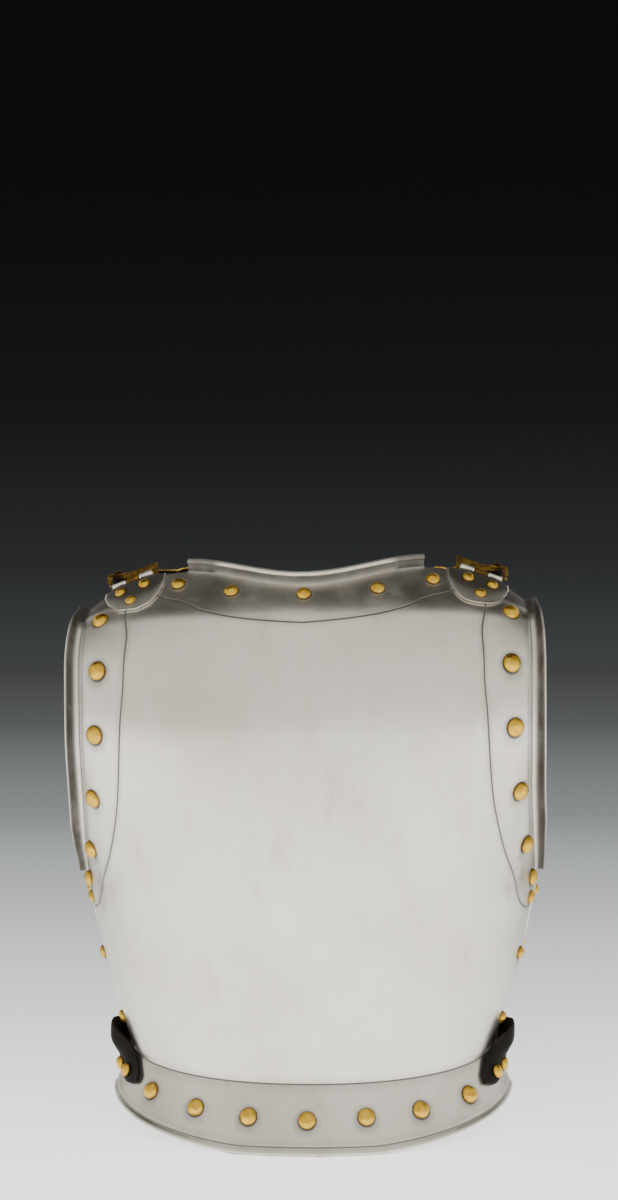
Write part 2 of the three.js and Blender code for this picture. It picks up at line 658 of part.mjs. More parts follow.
// Hinge of a shoulder plate: its middle, its way and the points along it.
function hingeAxis(end) {
  const a = hingePoint(end, plateAcross(-0.5)).point;
  const b = hingePoint(end, plateAcross(0.5)).point;
  const middle = a.clone().add(b).multiplyScalar(0.5);
  const way = b.clone().sub(a).normalize();
  const from = middle.clone().addScaledVector(way, -HINGE_LENGTH / 2);
  return { middle, way, at: (share) => from.clone().addScaledVector(way, HINGE_LENGTH * share) };
}

const hingeRod = (axis, [from, to], dia) => rod(axis.at(from), axis.at(to), dia);
const hingeBore = (axis) => hingeRod(axis, BORE_ENDS, PIN_DIA + 2 * GAP);

function shoulderPlate(end) {
  const lifted = (lift) => {
    const rows = PLATE_SHARES.map((share) => PLATE_OUTLINE.map(([place, cover]) => (
      offBody(BACK, end * plateAcross(place), along(plateLevel(cover), 1, share), lift)
    )));
    rows.push(PLATE_OUTLINE.map(([place]) => {
      const hinge = hingePoint(end, plateAcross(place));
      return hinge.point.clone().addScaledVector(hinge.out, lift - PLATE_SEAT - PLATE_THICK / 2);
    }));
    return rows;
  };
  const lugRow = PLATE_SHARES.length - 1;
  const cells = (i, j) => i < lugRow || PLATE_OUTLINE[j][2] === 1;
  const body = sheet(lifted(PLATE_SEAT + PLATE_THICK), lifted(PLATE_SEAT), cells);
  const axis = hingeAxis(end);
  const knuckles = STEEL_KNUCKLES.map((ends) => hingeRod(axis, ends, KNUCKLE_DIA));
  const heads = PLATE_RIVETS.map(([place, cover]) => {
    const at = bodyFrame(BACK, end * plateAcross(place), plateLevel(cover));
    const seat = at.point.addScaledVector(at.out, PLATE_SEAT + PLATE_THICK);
    return rivetHead(seat, at.out, PLATE_RIVET_DIA, PLATE_THICK / 2, FUSED_SIDES);
  });
  return cut(join([body, ...knuckles, ...heads]), hingeBore(axis));
}

// Way of a shoulder strap: upper face of the leather from the hinge to the breastplate.
function strapWay(end) {
  const axis = hingeAxis(end);
  const rise = radians(STRAP_RISE);
  const ahead = vec(0, Math.cos(rise), Math.sin(rise));
  const above = vec(0, -Math.sin(rise), Math.cos(rise));
  const start = axis.middle.clone().addScaledVector(above, -GAP - LEAF_THICK / 2);
  const landing = STRAP_LANDING.map(([level, share]) => (
    offBody(BREAST, end * STRAP_ACROSS, level, STRAP_THICK + 2 * GAP + share * RIM_CLEARANCE)
  ));
  const crest = STRAP_CREST_WAY.map(([share, height]) => (
    start.clone().lerp(landing[0], share).add(vec(0, 0, height * STRAP_CREST))
  ));
  const lead = start.clone().addScaledVector(ahead, STRAP_LEAD);
  const curve = new THREE.CatmullRomCurve3([start, lead, ...crest, ...landing]);
  const length = curve.getLength();
  const across = axis.way.clone().multiplyScalar(end);
  const acrossBreast = onBreast(end * STRAP_ACROSS, STRAP_LANDING[1][0]).side;
  if (acrossBreast.x < 0) acrossBreast.negate();
  const station = (distance) => {
    const share = clamp(distance / length, 0, 1);
    const tangent = curve.getTangentAt(share);
    const side = across.clone().lerp(acrossBreast, share);
    side.addScaledVector(tangent, -side.dot(tangent)).normalize();
    return { point: curve.getPointAt(share), side, out: side.clone().cross(tangent).normalize() };
  };
  return { length, station };
}

// Grid of points along a strap: distances by widths, lifted off the leather's upper face.
const strapGrid = (way, distances, widthsAt, liftAt) => distances.map((distance, i) => {
  const at = way.station(distance);
  return widthsAt(i).map((width, j) => (
    at.point.clone().addScaledVector(at.side, width).addScaledVector(at.out, liftAt(i, j))
  ));
});

// Flat layer of a strap between two heights.
function strapLayer(way, distances, widthsAt, low, high, cells) {
  const face = (lift) => strapGrid(way, distances, widthsAt, () => lift);
  return sheet(face(high), face(low), cells);
}

const leafRows = LEAF_SHARES.map((share) => share * LEAF_LENGTH);

function strapHinge(end, way) {
  const axis = hingeAxis(end);
  const [from, to] = BRASS_KNUCKLE;
  const half = HINGE_LENGTH * (to - from) / 2 - GAP;
  const widths = [-LEAF_WIDTH / 2, -half, half, LEAF_WIDTH / 2];
  const clear = KNUCKLE_DIA / 2 + 4 * GAP;
  const cells = (i, j) => i > 0 || j === 1;
  const leaf = strapLayer(way, [0, clear, ...leafRows], () => widths, GAP, GAP + LEAF_THICK, cells);
  return cut(join([leaf, hingeRod(axis, BRASS_KNUCKLE, KNUCKLE_DIA)]), hingeBore(axis));
}

function strapScales(way, from, to) {
  const pitch = (to - from) / SCALE_COUNT;
  const distances = [];
  const heights = [];
  for (let k = 0; k < SCALE_COUNT; k += 1) {
    distances.push(from + k * pitch + (k ? GAP : 0), from + (k + 1) * pitch - GAP);
    heights.push(SCALE_RISE * SCALE_START, SCALE_RISE);
  }
  const widthsAt = () => SCALE_SECTION.map(([share]) => share * SCALE_WIDTH);
  const top = strapGrid(way, distances, widthsAt, (i, j) => GAP + heights[i] * SCALE_SECTION[j][1]);
  return sheet(top, strapGrid(way, distances, widthsAt, () => GAP));
}

function endPlate(way, start, studHole) {
  const distances = spaced(start, way.length, END_PLATE_TAPER.length - 1);
  const widthsAt = (i) => spaced(-0.5, 0.5, 4).map((share) => share * SCALE_WIDTH * END_PLATE_TAPER[i]);
  return cut(strapLayer(way, distances, widthsAt, GAP, GAP + LEAF_THICK), studHole);
}

SIDES.forEach(([name, end]) => {
  const way = strapWay(end);
  const plateStart = way.length - END_PLATE_LENGTH;
  addNode(`${name}_shoulder_plate`, shoulderPlate(end), STEEL);
  addNode(`${name}_hinge_pin`, hingeRod(hingeAxis(end), PIN_ENDS, PIN_DIA), BRASS);
  addNode(`${name}_strap_hinge`, strapHinge(end, way), BRASS);
  const leatherEnd = plateStart + END_PLATE_OVERLAP;
  const leather = [...leafRows, ...spaced(LEAF_LENGTH, leatherEnd, STRAP_STEPS).slice(1)];
  const edges = [-STRAP_WIDTH / 2, 0, STRAP_WIDTH / 2];
  addNode(`${name}_shoulder_strap`, strapLayer(way, leather, () => edges, -STRAP_THICK, 0), LEATHER);
  const scales = strapScales(way, LEAF_LENGTH + 3 * GAP, plateStart - 3 * GAP);
  addNode(`${name}_strap_scales`, scales, BRASS);
  const stud = way.station(way.length - STUD_INSET);
  const reach = (height) => stud.point.clone().addScaledVector(stud.out, height - STRAP_THICK);
  const overPlate = STRAP_THICK + 2 * GAP + LEAF_THICK;
  const studHole = rod(reach(0), reach(2 * overPlate), STUD_NECK + 2 * GAP);
  addNode(`${name}_strap_end_plate`, endPlate(way, plateStart, studHole), BRASS);
  const neck = rod(reach(GAP), reach(overPlate + GAP), STUD_NECK);
  addNode(`${name}_strap_stud`, join([neck, rivetHead(reach(overPlate), stud.out, STUD_DIA, 0)]), BRASS);
});

// Point of a plate's outer face at a height above or below the waist crease.
function edgePoint(plate, across, height) {
  if (height >= 0) return bodyPoint(plate, across, levelAt(plate, height));
  const fall = -height / SKIRT_DROP;
  return skirtPoint(plate, across, fall, skirtOuter(fall));
}

// Belt cross-section at a place on a plate: lower and upper edge and the way out.
function beltSection(plate, across, top = BELT_ABOVE, bottom = BELT_ABOVE - 1) {
  const low = edgePoint(plate, across, bottom * BELT_WIDTH);
  const high = edgePoint(plate, across, top * BELT_WIDTH);
  const side = bodyFrame(plate, across, 0).side;
  const up = high.clone().sub(low);
  const out = side.clone().cross(up).normalize();
  const middle = low.clone().lerp(high, 0.5);
  if (out.x * middle.x + out.y * middle.y < 0) out.negate();
  return { low, high, middle, up, out, side: side.x < 0 ? side.negate() : side };
}

const beltRow = (section, lift) => [0, 0.5, 1].map((share) => (
  section.low.clone().lerp(section.high, share).addScaledVector(section.out, lift)
));

function beltSolid(sections, lifts) {
  const inner = sections.map((section, k) => beltRow(section, lifts[k]));
  return sheet(sections.map((section, k) => beltRow(section, lifts[k] + BELT_THICK)), inner);
}

const tabSections = (end) => BELT_TAB.map(([across, top, bottom]) => (
  beltSection(BACK, end * across, top, bottom)
));
const tabLifts = BELT_TAB.map(([, , , share]) => share * BELT_LIFT);

// One half of the belt: its tab, then its places on the breastplate, each with a lift.
function beltHalf(end, places) {
  const onFront = places.map(([across]) => beltSection(BREAST, across));
  const lifts = [...tabLifts.slice().reverse(), ...places.map(([, lift]) => lift)];
  return beltSolid([...tabSections(end).reverse(), ...onFront], lifts);
}

const overlapLift = BELT_LIFT + BELT_THICK + GAP;
const barLift = overlapLift + BUCKLE_BAR / 2;
const overBar = barLift + BUCKLE_BAR / 2 + GAP;
const withLift = (places, lift) => places.map((across) => [across, lift]);
const rightBelt = beltHalf(1, withLift([...BELT_ON_BREAST, ...SHORT_END], BELT_LIFT));
addNode('right_belt_strap', rightBelt, LEATHER);
const leftBelt = beltHalf(-1, [
  ...withLift([...BELT_ON_BREAST.map((a) => -a), ...UNDER_BUCKLE], BELT_LIFT),
  ...withLift(OVER_PIVOT, overBar),
  ...withLift(LONG_END, overlapLift),
]);

// Ring of square bar lying flat: middle, axes, inner width and height, thickness.
function ringSolid(centre, [u, w, out], width, height, bar, depth) {
  const frame = (halfWidth, halfHeight, lift) => [[-1, -1], [1, -1], [1, 1], [-1, 1]].map(([a, b]) => (
    centre.clone().addScaledVector(u, a * halfWidth).addScaledVector(w, b * halfHeight)
      .addScaledVector(out, lift)
  ));
  const box = (halfWidth, halfHeight, half) => rings([
    frame(halfWidth, halfHeight, -half), frame(halfWidth, halfHeight, half),
  ]);
  const outerBox = box(width / 2 + bar, height / 2 + bar, depth / 2);
  return cut(outerBox, box(width / 2, height / 2, depth));
}

// Buckle over the short end: its outer bar, its pivot bar and the prong between them
const barPoint = (section) => section.middle.clone().addScaledVector(section.out, barLift);
const pivotSection = beltSection(BREAST, PIVOT_BAR);
const outerAt = barPoint(beltSection(BREAST, OUTER_BAR));
const pivotAt = barPoint(pivotSection);
const buckleU = pivotAt.clone().sub(outerAt).normalize();
const buckleW = pivotSection.up.clone().addScaledVector(buckleU, -pivotSection.up.dot(buckleU)).normalize();
const buckleOut = buckleU.clone().cross(buckleW).normalize();
if (buckleOut.y < 0) buckleOut.negate();
const buckleHeight = pivotSection.up.length() + 2 * BUCKLE_ROOM;
const buckleWidth = pivotAt.distanceTo(outerAt) - BUCKLE_BAR;
const buckleAxes = [buckleU, buckleW, buckleOut];
const buckleMiddle = outerAt.clone().lerp(pivotAt, 0.5);
const buckleFrame = ringSolid(buckleMiddle, buckleAxes, buckleWidth, buckleHeight, BUCKLE_BAR, BUCKLE_BAR);
addNode('buckle_frame', buckleFrame, BRASS);

const prongFrom = pivotAt.clone().addScaledVector(buckleU, -BUCKLE_BAR / 2 - GAP);
const prongTo = outerAt.clone().addScaledVector(buckleU, -BUCKLE_BAR / 2)
  .addScaledVector(buckleOut, BUCKLE_BAR / 2 + PRONG_DIA / 2 + 4 * GAP);
addNode('buckle_prong', rod(prongFrom, prongTo, PRONG_DIA, RIVET_SIDES), BRASS);
const prongHole = rod(prongFrom, prongTo, PRONG_DIA + 4 * GAP, RIVET_SIDES);
addNode('left_belt_strap', cut(leftBelt, prongHole), LEATHER);

const keeperSection = beltSection(BREAST, KEEPER);
const keeperIn = BELT_LIFT - 3 * GAP;
const keeperOut = overlapLift + BELT_THICK + GAP;
const keeperMiddle = keeperSection.middle.clone()
  .addScaledVector(keeperSection.out, (keeperIn + keeperOut) / 2);
const keeperAxes = [keeperSection.out, keeperSection.up.clone().normalize(), keeperSection.side];
const keeperHeight = keeperSection.up.length() + 3 * GAP;
addNode('belt_keeper', ringSolid(
  keeperMiddle, keeperAxes, keeperOut - keeperIn, keeperHeight, KEEPER_WALL, KEEPER_WIDTH,
), LEATHER);

// Rivets through the tabs
SIDES.forEach(([name, end]) => {
  const sections = tabSections(end);
  const base = group.getObjectByName(`${name}_belt_strap`);
  BELT_RIVETS.forEach(([station, share], k) => {
    const row = Math.floor(station);
    const t = station - row;
    const low = sections[row].low.clone().lerp(sections[row + 1].low, t);
    const high = sections[row].high.clone().lerp(sections[row + 1].high, t);
    const out = sections[row].out.clone().lerp(sections[row + 1].out, t).normalize();
    const height = along(tabLifts[row], tabLifts[row + 1], t) + BELT_THICK;
    const point = low.lerp(high, share).addScaledVector(out, height);
    const seat = seatOn(base, point, out, BELT_RIVET_DIA / 2);
    addNode(`${name}_belt_rivet_${k + 1}`, rivetHead(seat.point, seat.axis, BELT_RIVET_DIA, 0), BRASS);
  });
});

// Origin under the middle of the whole
const bounds = new THREE.Box3().setFromObject(group);
const centre = bounds.getCenter(vec(0, 0, 0));
group.children.forEach((mesh) => mesh.geometry.translate(-centre.x, -centre.y, -bounds.min.z));

export default group;
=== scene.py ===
"""Polished steel cuirass seen from behind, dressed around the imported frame.

Shapes are worked out in millimetres in the plates' own frame and placed in metres.
"""
from math import asin, cos, pi, radians, sin

import bpy
import numpy as np
from mathutils import Matrix, Vector


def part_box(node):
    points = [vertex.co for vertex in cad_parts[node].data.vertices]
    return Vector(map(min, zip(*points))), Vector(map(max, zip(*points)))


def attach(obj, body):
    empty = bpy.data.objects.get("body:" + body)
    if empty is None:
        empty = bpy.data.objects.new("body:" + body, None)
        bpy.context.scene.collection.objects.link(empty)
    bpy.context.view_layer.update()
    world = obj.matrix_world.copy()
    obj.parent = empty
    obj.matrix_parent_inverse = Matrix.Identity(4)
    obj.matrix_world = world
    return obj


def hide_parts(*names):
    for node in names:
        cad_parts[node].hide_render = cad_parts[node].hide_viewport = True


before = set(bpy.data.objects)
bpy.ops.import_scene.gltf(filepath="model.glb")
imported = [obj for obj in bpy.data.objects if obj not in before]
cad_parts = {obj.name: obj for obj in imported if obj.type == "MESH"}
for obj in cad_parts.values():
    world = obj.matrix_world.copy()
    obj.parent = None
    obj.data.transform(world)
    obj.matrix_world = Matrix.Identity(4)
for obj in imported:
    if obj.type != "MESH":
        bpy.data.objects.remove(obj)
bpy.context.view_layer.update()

MM = 0.001
GAP = 0.3
SEED = 7
SIDES = (("left", -1), ("right", 1))

# Plates
BODY_WIDTH, BODY_HEIGHT = 362, 409
NECK_WIDTH, LEFT_DROP, KEEL, KEEL_REACH, UNDERARM = 188, 3.4, 5, 70, 0.42
SKIRT_DROP, SKIRT_FLARE, RIM_FLAT, RIM_POWER = 53, 23.6, 0.24, 1.2
SKIRT_SIDE_SHARE = 0.6
HOLLOW_SHARE = 1.19
DROP_FROM, DROP_FULL = 0.35, 0.55

# level, z, half, edge, mid, wrap, flat, rise, power, push, dip
BACK_SECTIONS = np.array([
    [0.00, 0.000, 0.823, 0.023, 0.744, 86, 1.10, 0.024, 2.0, 0.000, 0.000],
    [0.09, 0.066, 0.862, 0.023, 0.767, 86, 1.10, 0.020, 2.0, 0.000, 0.000],
    [0.20, 0.164, 0.928, 0.023, 0.820, 86, 1.15, 0.015, 2.0, 0.000, 0.000],
    [0.32, 0.274, 0.972, 0.030, 0.895, 84, 1.20, 0.007, 2.0, 0.000, 0.000],
    [0.42, 0.374, 1.000, 0.068, 0.955, 79, 1.25, 0.000, 2.0, 0.000, 0.000],
    [0.49, 0.457, 0.989, 0.301, 0.985, 67, 1.25, 0.000, 2.0, 0.000, 0.000],
    [0.60, 0.579, 0.978, 0.541, 1.000, 58, 1.25, 0.000, 2.0, 0.000, 0.000],
    [0.72, 0.702, 0.978, 0.647, 0.985, 56, 1.25, 0.000, 2.0, 0.000, 0.000],
    [0.84, 0.824, 0.978, 0.617, 0.910, 54, 1.20, -0.005, 2.5, 0.000, 0.000],
    [0.93, 0.919, 0.972, 0.481, 0.722, 50, 1.15, -0.029, 3.0, 0.060, 0.007],
    [1.00, 1.000, 0.950, 0.256, 0.331, 50, 1.10, -0.078, 3.5, 0.226, 0.027],
])
BREAST_SECTIONS = np.array([
    [0.00, 0.000, 0.829, 0.013, 0.737, 86, 0.95, 0.020, 2.0, 0.000, 0.000],
    [0.09, 0.066, 0.856, 0.013, 0.803, 86, 0.95, 0.017, 2.0, 0.000, 0.000],
    [0.20, 0.164, 0.923, 0.020, 0.882, 86, 0.95, 0.012, 2.0, 0.000, 0.000],
    [0.32, 0.274, 0.983, 0.026, 0.947, 84, 1.00, 0.007, 2.0, 0.000, 0.000],
    [0.42, 0.374, 1.017, 0.066, 0.987, 79, 1.05, 0.000, 2.0, 0.000, 0.000],
    [0.49, 0.457, 0.994, 0.224, 1.000, 68, 1.10, 0.000, 2.0, 0.000, 0.000],
    [0.60, 0.570, 0.950, 0.434, 0.987, 60, 1.15, 0.000, 2.0, 0.000, 0.000],
    [0.72, 0.672, 0.884, 0.553, 0.941, 56, 1.20, 0.000, 2.0, 0.000, 0.000],
    [0.84, 0.770, 0.845, 0.579, 0.855, 54, 1.20, 0.000, 2.5, 0.000, 0.015],
    [0.93, 0.853, 0.840, 0.526, 0.724, 50, 1.15, -0.010, 3.0, 0.033, 0.049],
    [1.00, 0.936, 0.851, 0.408, 0.500, 50, 1.10, -0.029, 3.5, 0.105, 0.093],
])
BACK = dict(sections=BACK_SECTIONS, side=-1, depth=133, wall=1.5, neck_half=NECK_WIDTH / 2,
            drop=LEFT_DROP, keel=0, rim_rise=27, border_start=0.75)
BREAST = dict(sections=BREAST_SECTIONS, side=1, depth=152, wall=2.4, neck_half=NECK_WIDTH / 2 * 0.936,
              drop=0, keel=KEEL, rim_rise=22, border_start=0.5)

# Engraved lines on the backplate: level and across beside the armhole, across and level at the neck
ARM_LINE = [
    (1.0, 0.79), (0.945, 0.767), (0.90, 0.745), (0.82, 0.745), (0.75, 0.757), (0.65, 0.768),
    (0.59, 0.777), (0.52, 0.790), (0.46, 0.804), (0.41, 0.813), (0.37, 0.862), (0.355, 0.93), (0.35, 1.0),
]
NECK_LINE = [
    (0, 0.930), (0.275, 0.937), (0.43, 0.948), (0.48, 0.956), (0.61, 0.968), (0.65, 0.98), (0.70, 1.0)]

# Rivets of the breastplate: across, level (or fall on the skirt), diameter
BREAST_RIVETS = [
    (0, 0.955, 11.5), (0.40, 0.965, 11.5), (0.905, 0.945, 13.8), (0.890, 0.840, 15), (0.907, 0.715, 15),
    (0.934, 0.586, 15), (0.945, 0.480, 14.6), (0.965, 0.372, 11.5), (0.930, 0.250, 11), (0.935, 0.140, 10.5),
]
BREAST_SKIRT_RIVETS = [(0, 0.50, 14), (0.205, 0.47, 14), (0.410, 0.47, 14), (0.638, 0.46, 13.8)]
RIVET_DOME = 0.36

# Shoulder plates, hinges and straps
HINGE_LENGTH, HINGE_STANDOFF, KNUCKLE_DIA, PIN_DIA = 35, 4.6, 5.6, 2.6
PLATE_THICK, PLATE_SEAT, PLATE_MIDDLE, PLATE_COVER = 1.8, 0.5, 0.525, 0.048
PLATE_OUTLINE = {
    "left": [(-0.77, 0.25), (-0.67, 0.58), (-0.51, 0.85), (-0.21, 1.00), (0.21, 0.96), (0.51, 0.66),
             (0.68, 0.21)],
    "right": [(-0.77, 0.25), (-0.67, 0.58), (-0.51, 0.85), (-0.34, 0.96), (-0.10, 1.00), (0.10, 0.99),
              (0.34, 0.86), (0.51, 0.65), (0.68, 0.21)],
}
PLATE_RIVETS = [(0.243, 0.292), (-0.316, 0.229), (-0.073, 0.708)]
PLATE_RIVET_DIA = 9.5
STRAP_RISE, STRAP_LEAD, STRAP_ACROSS, RIM_CLEARANCE, STRAP_CREST, STRAP_BOW = 40, 9, 0.7, 1.2, 1.5, 10
STRAP_LANDING = [(1, 1), (0.95, 0), (0.91, 0), (0.865, 0)]
STRAP_CREST_WAY = [(0.15, 0.53), (0.35, 0.89), (0.60, 1), (0.83, 0.84)]
STRAP_WIDTH, STRAP_THICK, LEAF_WIDTH, LEAF_LENGTH, LEAF_THICK = 34, 3, 41, 20, 1.5
SCALE_WIDTH, SCALE_RISE, SCALE_COUNT, SCALE_OVERLAP = 39, 2.6, 8, 1.16
END_PLATE_LENGTH, END_PLATE_OVERLAP, STUD_INSET, STUD_DIA, STUD_NECK = 46, 14, 14, 13, 6

# Belt
BELT_WIDTH, BELT_THICK, BELT_LIFT, BELT_ABOVE = 34, 2.4, 3, 0.64
BELT_TAB = [
    (1.000, 0.64, -0.56, 1.00), (0.930, 0.55, -0.72, 0.60), (0.860, 0.30, -0.82, 0.45),
    (0.790, -0.05, -0.86, 0.40), (0.735, -0.35, -0.78, 0.33),
]
BELT_ON_BREAST = [1, 0.93, 0.86, 0.75, 0.64, 0.53, 0.42, 0.33]
SHORT_END = [0.27, 0.205]
UNDER_BUCKLE = [-0.22, -0.11, 0, 0.075]
OVER_PIVOT = [0.14, 0.19]
LONG_END = [0.27, 0.33, 0.42]
OUTER_BAR, PIVOT_BAR, KEEPER = 0.06, 0.165, 0.33
FLAP_ROW, FLAP_LIFT, FLAP_SPREAD = 3, 8.5, 15
BUCKLE_BAR, BUCKLE_ROOM, PRONG_DIA, KEEPER_WIDTH, KEEPER_WALL = 4.5, 1.5, 3, 12, 1.2


def smooth_table(rows, x):
    """Every column of a table at x in its first column, on smooth monotone curves."""
    xs, ys = rows[:, 0], rows[:, 1:]
    h = np.diff(xs)[:, None]
    m = np.diff(ys, axis=0) / h
    d = np.zeros_like(ys)
    d[0], d[-1] = m[0], m[-1]
    w1, w2 = 2 * h[1:] + h[:-1], h[1:] + 2 * h[:-1]
    same = m[:-1] * m[1:] > 0
    safe = np.where(same, m[:-1], 1), np.where(same, m[1:], 1)
    d[1:-1] = np.where(same, (w1 + w2) / (w1 / safe[0] + w2 / safe[1]), 0)
    x = np.clip(np.asarray(x, float), xs[0], xs[-1])
    k = np.clip(np.searchsorted(xs, x) - 1, 0, len(xs) - 2)
    t = ((x - xs[k]) / h[k, 0])[..., None]
    return ((2 * t**3 - 3 * t**2 + 1) * ys[k] + (t**3 - 2 * t**2 + t) * h[k] * d[k]
            + (3 * t**2 - 2 * t**3) * ys[k + 1] + (t**3 - t**2) * h[k] * d[k + 1])


def body(plate, across, level):
    """Outer face of a plate's body; across from -1 to 1, level from 0 to 1."""
    across, level = np.broadcast_arrays(np.asarray(across, float), np.asarray(level, float))
    row = np.moveaxis(smooth_table(plate["sections"], level), -1, 0)
    z, half, edge, mid, wrap, flat, rise, power, push, dip = row
    wrap = np.radians(wrap)
    reach = np.abs(across)
    x = BODY_WIDTH / 2 * half * np.sin(across * wrap) / np.sin(wrap)
    turn = ((1 - np.cos(reach * wrap)) / (1 - np.cos(wrap))) ** flat
    hollow = np.cos(pi / 2 * np.clip(np.abs(x) / (HOLLOW_SHARE * NECK_WIDTH / 2), 0, 1)) ** 2
    ridge = plate["keel"] * np.maximum(0, 1 - np.abs(x) / KEEL_REACH) * (1 - level**2)
    y = plate["side"] * (plate["depth"] * (mid + (edge - mid) * turn + push * hollow) + ridge)
    t = np.clip((level - DROP_FROM) / (DROP_FULL - DROP_FROM), 0, 1)
    lean = plate["drop"] * across * t * t * (3 - 2 * t)
    climb = z + rise * reach**power - dip * hollow
    return np.stack([x, y, SKIRT_DROP + BODY_HEIGHT * climb + lean], -1)


def unit(v):
    return v / np.linalg.norm(v, axis=-1, keepdims=True)


def body_frame(plate, across, level, step=1e-3):
    """Point and the directions sideways, upwards and outwards."""
    across, level = np.broadcast_arrays(np.asarray(across, float), np.asarray(level, float))
    further, nearer = np.minimum(across + step, 1), np.maximum(across - step, -1)
    higher, lower = np.minimum(level + step, 1), np.maximum(level - step, 0)
    side = unit(body(plate, further, level) - body(plate, nearer, level))
    up = unit(body(plate, across, higher) - body(plate, across, lower))
    out = unit(np.cross(side, up))
    point = body(plate, across, level)
    flip = np.sign((out[..., :2] * point[..., :2]).sum(-1))[..., None]
    return point, side, up, out * flip


def off_body(plate, across, level, lift):
    point, _, _, out = body_frame(plate, across, level)
    return point + out * lift


def level_at(plate, height):
    """Level of a plate at a height above the waist crease."""
    levels = np.linspace(0, 1, 400)
    heights = smooth_table(plate["sections"], levels)[:, 0] * BODY_HEIGHT
    return float(np.interp(height, heights, levels))


def neck_end(plate):
    top = plate["sections"][-1]
    wrap = radians(top[5])
    return asin(plate["neck_half"] * sin(wrap) / (BODY_WIDTH / 2 * top[2])) / wrap


def skirt_point(plate, across, fall, reach):
    """Skirt below the waist crease, at a share of the drop and a reach out of the crease."""
    point, _, _, out = body_frame(plate, across, 0.0)
    out = out * np.array([1, 1, 0])
    out = unit(out)
    across = np.asarray(across, float)
    climb = np.maximum(0, np.abs(across) - RIM_FLAT) / (1 - RIM_FLAT)
    rim = plate["rim_rise"] * climb**RIM_POWER
    share = 1 - (1 - SKIRT_SIDE_SHARE) * across**2
    result = point + out * (reach * share)[..., None]
    result[..., 2] = point[..., 2] + (rim - point[..., 2]) * fall
    return result


SKIRT_TABLE = np.array([
    [0, 0], [0.12, 0.102], [0.34, 0.297], [0.60, 0.559],
    [0.84, 0.847], [0.90, 0.958], [0.95, 1.0], [1, 0.966],
])


def skirt_outer(fall):
    return np.interp(fall, SKIRT_TABLE[:, 0], SKIRT_TABLE[:, 1] * SKIRT_FLARE)


# The CAD's middle: the plates' frame shifted so that the backplate's foremost point meets the node's box
OFFSET = np.array([0.0237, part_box("backplate")[0].y / MM + BACK["depth"], 0])


# Mesh makers
def to_mesh(name, verts, faces, slot, look, attributes=None, sharp=40):
    """A piece from points in millimetres in the plates' frame."""
    mesh = bpy.data.meshes.new(name)
    points = (np.asarray(verts, float).reshape(-1, 3) + OFFSET) * MM
    mesh.from_pydata(points.tolist(), [], [list(f) for f in faces])
    mesh.validate()
    for key, values in (attributes or {}).items():
        attribute = mesh.attributes.new(key, "FLOAT", "POINT")
        attribute.data.foreach_set("value", np.asarray(values, np.float32).ravel())
    mesh.polygons.foreach_set("use_smooth", [True] * len(mesh.polygons))
    mesh.set_sharp_from_angle(angle=radians(sharp))
    mesh.materials.append(look)
    obj = bpy.data.objects.new(name, mesh)
    bpy.context.scene.collection.objects.link(obj)
    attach(obj, "root")
    return obj


def signed_volume(verts, faces):
    v = np.asarray(verts, float)
    tris = np.array([(f[0], f[k], f[k + 1]) for f in faces for k in range(1, len(f) - 1)])
    a, b, c = v[tris[:, 0]], v[tris[:, 1]], v[tris[:, 2]]
    return float((a * np.cross(b, c)).sum())


def sheet(outer, inner, cells=None):
    """Closed solid between two grids of points; cells marks the filled grid cells."""
    rows, cols = outer.shape[:2]
    filled = np.ones((rows - 1, cols - 1), bool) if cells is None else cells
    verts = np.concatenate([outer.reshape(-1, 3), inner.reshape(-1, 3)])
    half = rows * cols
    faces = []
    for i in range(rows - 1):
        for j in range(cols - 1):
            if not filled[i, j]:
                continue
            a, b, c, d = i * cols + j, i * cols + j + 1, (i + 1) * cols + j + 1, (i + 1) * cols + j
            faces.append((a, b, c, d))
            faces.append((d + half, c + half, b + half, a + half))
            if i == 0 or not filled[i - 1, j]:
                faces.append((b, a, a + half, b + half))
            if j == cols - 2 or not filled[i, j + 1]:
                faces.append((c, b, b + half, c + half))
            if i == rows - 2 or not filled[i + 1, j]:
                faces.append((d, c, c + half, d + half))
            if j == 0 or not filled[i, j - 1]:
                faces.append((a, d, d + half, a + half))
    used = np.zeros(len(verts), bool)
    used[[k for f in faces for k in f]] = True
    index = np.cumsum(used) - 1
    faces = [tuple(int(index[k]) for k in f) for f in faces]
    verts = verts[used]
    if signed_volume(verts, faces) < 0:
        faces = [f[::-1] for f in faces]
    return verts, faces, used


def lathe(profile, sides):
    """Closed round solid about Z from (radius, height) rows; rows of radius 0 are poles."""
    verts, faces, rings = [], [], []
    for radius, height in profile:
        if radius == 0:
            rings.append([len(verts)])
            verts.append((0, 0, height))
            continue
        rings.append(list(range(len(verts), len(verts) + sides)))
        turns = [2 * pi * k / sides for k in range(sides)]
        verts += [(radius * cos(turn), radius * sin(turn), height) for turn in turns]
    for low, high in zip(rings, rings[1:]):
        for k in range(sides):
            n = (k + 1) % sides
            face = [low[k % len(low)], low[n % len(low)], high[n % len(high)], high[k % len(high)]]
            face = [p for q, p in enumerate(face) if p not in face[:q]]
            faces.append(tuple(face))
    return np.array(verts, float), faces


def placed(verts, point, axis):
    """Points turned so that their Z follows an axis, and moved to a point."""
    turn = Vector((0, 0, 1)).rotation_difference(Vector(axis)).to_matrix()
    return verts @ np.array(turn).T + np.asarray(point)


def merged(parts):
    """Several (verts, faces) as one."""
    verts, faces, start = [], [], 0
    for v, f in parts:
        verts.append(np.asarray(v, float))
        faces += [tuple(k + start for k in face) for face in f]
        start += len(v)
    return np.concatenate(verts), faces


